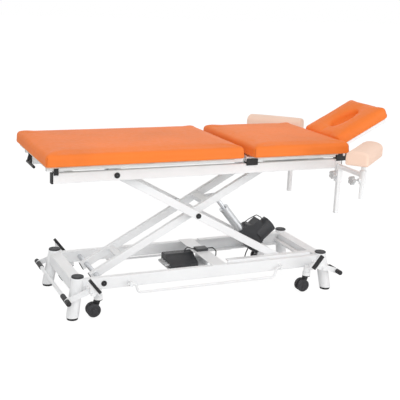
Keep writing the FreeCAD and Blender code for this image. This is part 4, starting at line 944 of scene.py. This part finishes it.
@dataclass
class BarEnds:
    """Black rubber domes over the ends of both castor bars."""

    radius: float = 0.0126
    depth: float = 0.006
    bars: tuple[tuple[str, float], ...] = (("rocker_foot", 106.0), ("rocker_head", 1591.26))
    half_length: float = 325.0
    height: float = 110.0

    def build(self) -> None:
        """Close both ends of both bars with a dome."""
        arc = np.linspace(0, math.pi / 2, 7)
        dome = [(0.0, -0.0008), (self.radius, -0.0008)]
        dome += [(self.radius * math.cos(a), self.depth * math.sin(a)) for a in arc]
        for body, x in self.bars:
            for side in Side:
                piece = turned(f"bar_end_{body[7:]}_{side.name.lower()}", dome)
                turn = Matrix.Rotation(math.radians(-90 * side.value), 4, "X")
                end = at(x, self.half_length * side.value, self.height)
                piece.data.transform(Matrix.Translation(end) @ turn)
                dress(piece, Finish.RUBBER)
                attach(piece, body)
                LOG.info("%s placed", piece.name)


@dataclass
class Studio:
    """Pale floor, soft lamps and the camera of the photograph."""

    eye: tuple[float, float, float] = (-849.3, -3868.8, 1578.8)
    yaw: float = -0.4239
    pitch: float = 0.2542
    roll: float = 0.0437
    focal_pixels: float = 835.5
    image_pixels: float = 400.0

    def build(self) -> None:
        """Set up the colours, world, floor, lamps and camera."""
        bpy.context.scene.view_settings.view_transform = "Standard"
        self.world()
        self.floor()
        self.lamp("key_lamp", (-2.0, -3.8, 3.2), 2.8, 66.0)
        self.lamp("fill_lamp", (2.8, -3.8, 1.6), 3.0, 44.0)
        self.lamp("top_lamp", (0.0, 0.8, 3.8), 3.4, 10.0)
        self.lamp("back_lamp", (1.2, 4.2, 1.6), 3.0, 9.0)
        self.camera()

    def world(self) -> None:
        """White to the camera and to reflections, softer as a light."""
        world = bpy.data.worlds.new("pale_room")
        bpy.context.scene.world = world
        world.use_nodes = True
        tree = world.node_tree
        background = tree.nodes["Background"]
        rays = tree.nodes.new("ShaderNodeLightPath")
        seen = tree.nodes.new("ShaderNodeMath")
        seen.operation = "MAXIMUM"
        tree.links.new(rays.outputs["Is Camera Ray"], seen.inputs[0])
        tree.links.new(rays.outputs["Is Glossy Ray"], seen.inputs[1])
        strength = tree.nodes.new("ShaderNodeMapRange")
        strength.inputs["To Min"].default_value = 0.62
        strength.inputs["To Max"].default_value = 1.0
        tree.links.new(seen.outputs[0], strength.inputs["Value"])
        tree.links.new(strength.outputs["Result"], background.inputs["Strength"])
        background.inputs["Color"].default_value = (1.0, 1.0, 1.0, 1.0)

    def floor(self) -> None:
        """A wide pale floor that keeps a faint shadow."""
        corner = np.array([-1.0, 1.0]) * 30
        grid = np.array([[(x, y, 0.0) for x in corner] for y in corner])
        piece = mesh_piece("floor", grid, grid_faces(2, 2, False, False))
        board = NodeBoard("pale_floor")
        board.shader.inputs["Base Color"].default_value = (0.9, 0.9, 0.9, 1.0)
        board.shader.inputs["Roughness"].default_value = 0.9
        glow = board.add("ShaderNodeEmission", Strength=1.14)
        rays = board.tree.nodes.new("ShaderNodeLightPath")
        share = board.add("ShaderNodeMapRange")
        share.inputs["To Max"].default_value = 0.8
        mix = board.tree.nodes.new("ShaderNodeMixShader")
        board.link(rays.outputs["Is Camera Ray"], share.inputs["Value"])
        board.link(share.outputs["Result"], mix.inputs["Fac"])
        board.link(board.shader.outputs["BSDF"], mix.inputs[1])
        board.link(glow.outputs["Emission"], mix.inputs[2])
        board.link(mix.outputs["Shader"], board.tree.nodes["Material Output"].inputs["Surface"])
        piece.data.materials.append(board.material)
        piece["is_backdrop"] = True

    def lamp(self, name: str, place: Sequence[float], size: float, power: float) -> None:
        """Hang a square area lamp that points at the table's middle."""
        light = bpy.data.lights.new(name, "AREA")
        light.size = size
        light.energy = power
        piece = bpy.data.objects.new(name, light)
        piece.location = place
        aim = Vector((0.0, 0.0, 0.6)) - Vector(place)
        piece.rotation_euler = aim.to_track_quat("-Z", "Y").to_euler()
        bpy.context.scene.collection.objects.link(piece)

    def camera(self) -> None:
        """Stand the camera where the photograph was taken."""
        right = Vector((math.cos(self.yaw), math.sin(self.yaw), 0.0))
        level = math.cos(self.pitch)
        forward = Vector((-math.sin(self.yaw) * level, math.cos(self.yaw) * level, -math.sin(self.pitch)))
        up = right.cross(forward)
        turned = right * math.cos(self.roll) + up * math.sin(self.roll)
        upright = up * math.cos(self.roll) - right * math.sin(self.roll)
        data = bpy.data.cameras.new("photo_camera")
        data.sensor_fit = "HORIZONTAL"
        data.sensor_width = 36.0
        data.lens = 36.0 * self.focal_pixels / self.image_pixels
        data.clip_end = 200.0
        piece = bpy.data.objects.new("photo_camera", data)
        basis = Matrix((turned, upright, -forward)).transposed().to_4x4()
        piece.matrix_world = Matrix.Translation(at(*self.eye)) @ basis
        bpy.context.scene.collection.objects.link(piece)
        bpy.context.scene.camera = piece


def dress_frame(frame: dict) -> None:
    """Give every carried-over node its finish.
    """
    for finish, names in NODE_FINISH.items():
        for name in names:
            dress(frame["nodes"][name], finish)
    LOG.info("frame: %d nodes dressed", sum(len(names) for names in NODE_FINISH.values()))


def corners() -> list[list[float]]:
    """Return the whole object's lowest and highest corners as plain numbers."""
    return [[float(v) for v in corner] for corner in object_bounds()]


def main() -> None:
    """Load the frame and build every piece."""
    logging.basicConfig(level=logging.INFO, format="%(name)s: %(message)s")
    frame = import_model()
    dress_frame(frame)
    Upholstery().build()
    Fasteners().build()
    BarEnds().build()
    Studio().build()


if __name__ == "__main__":
    main()
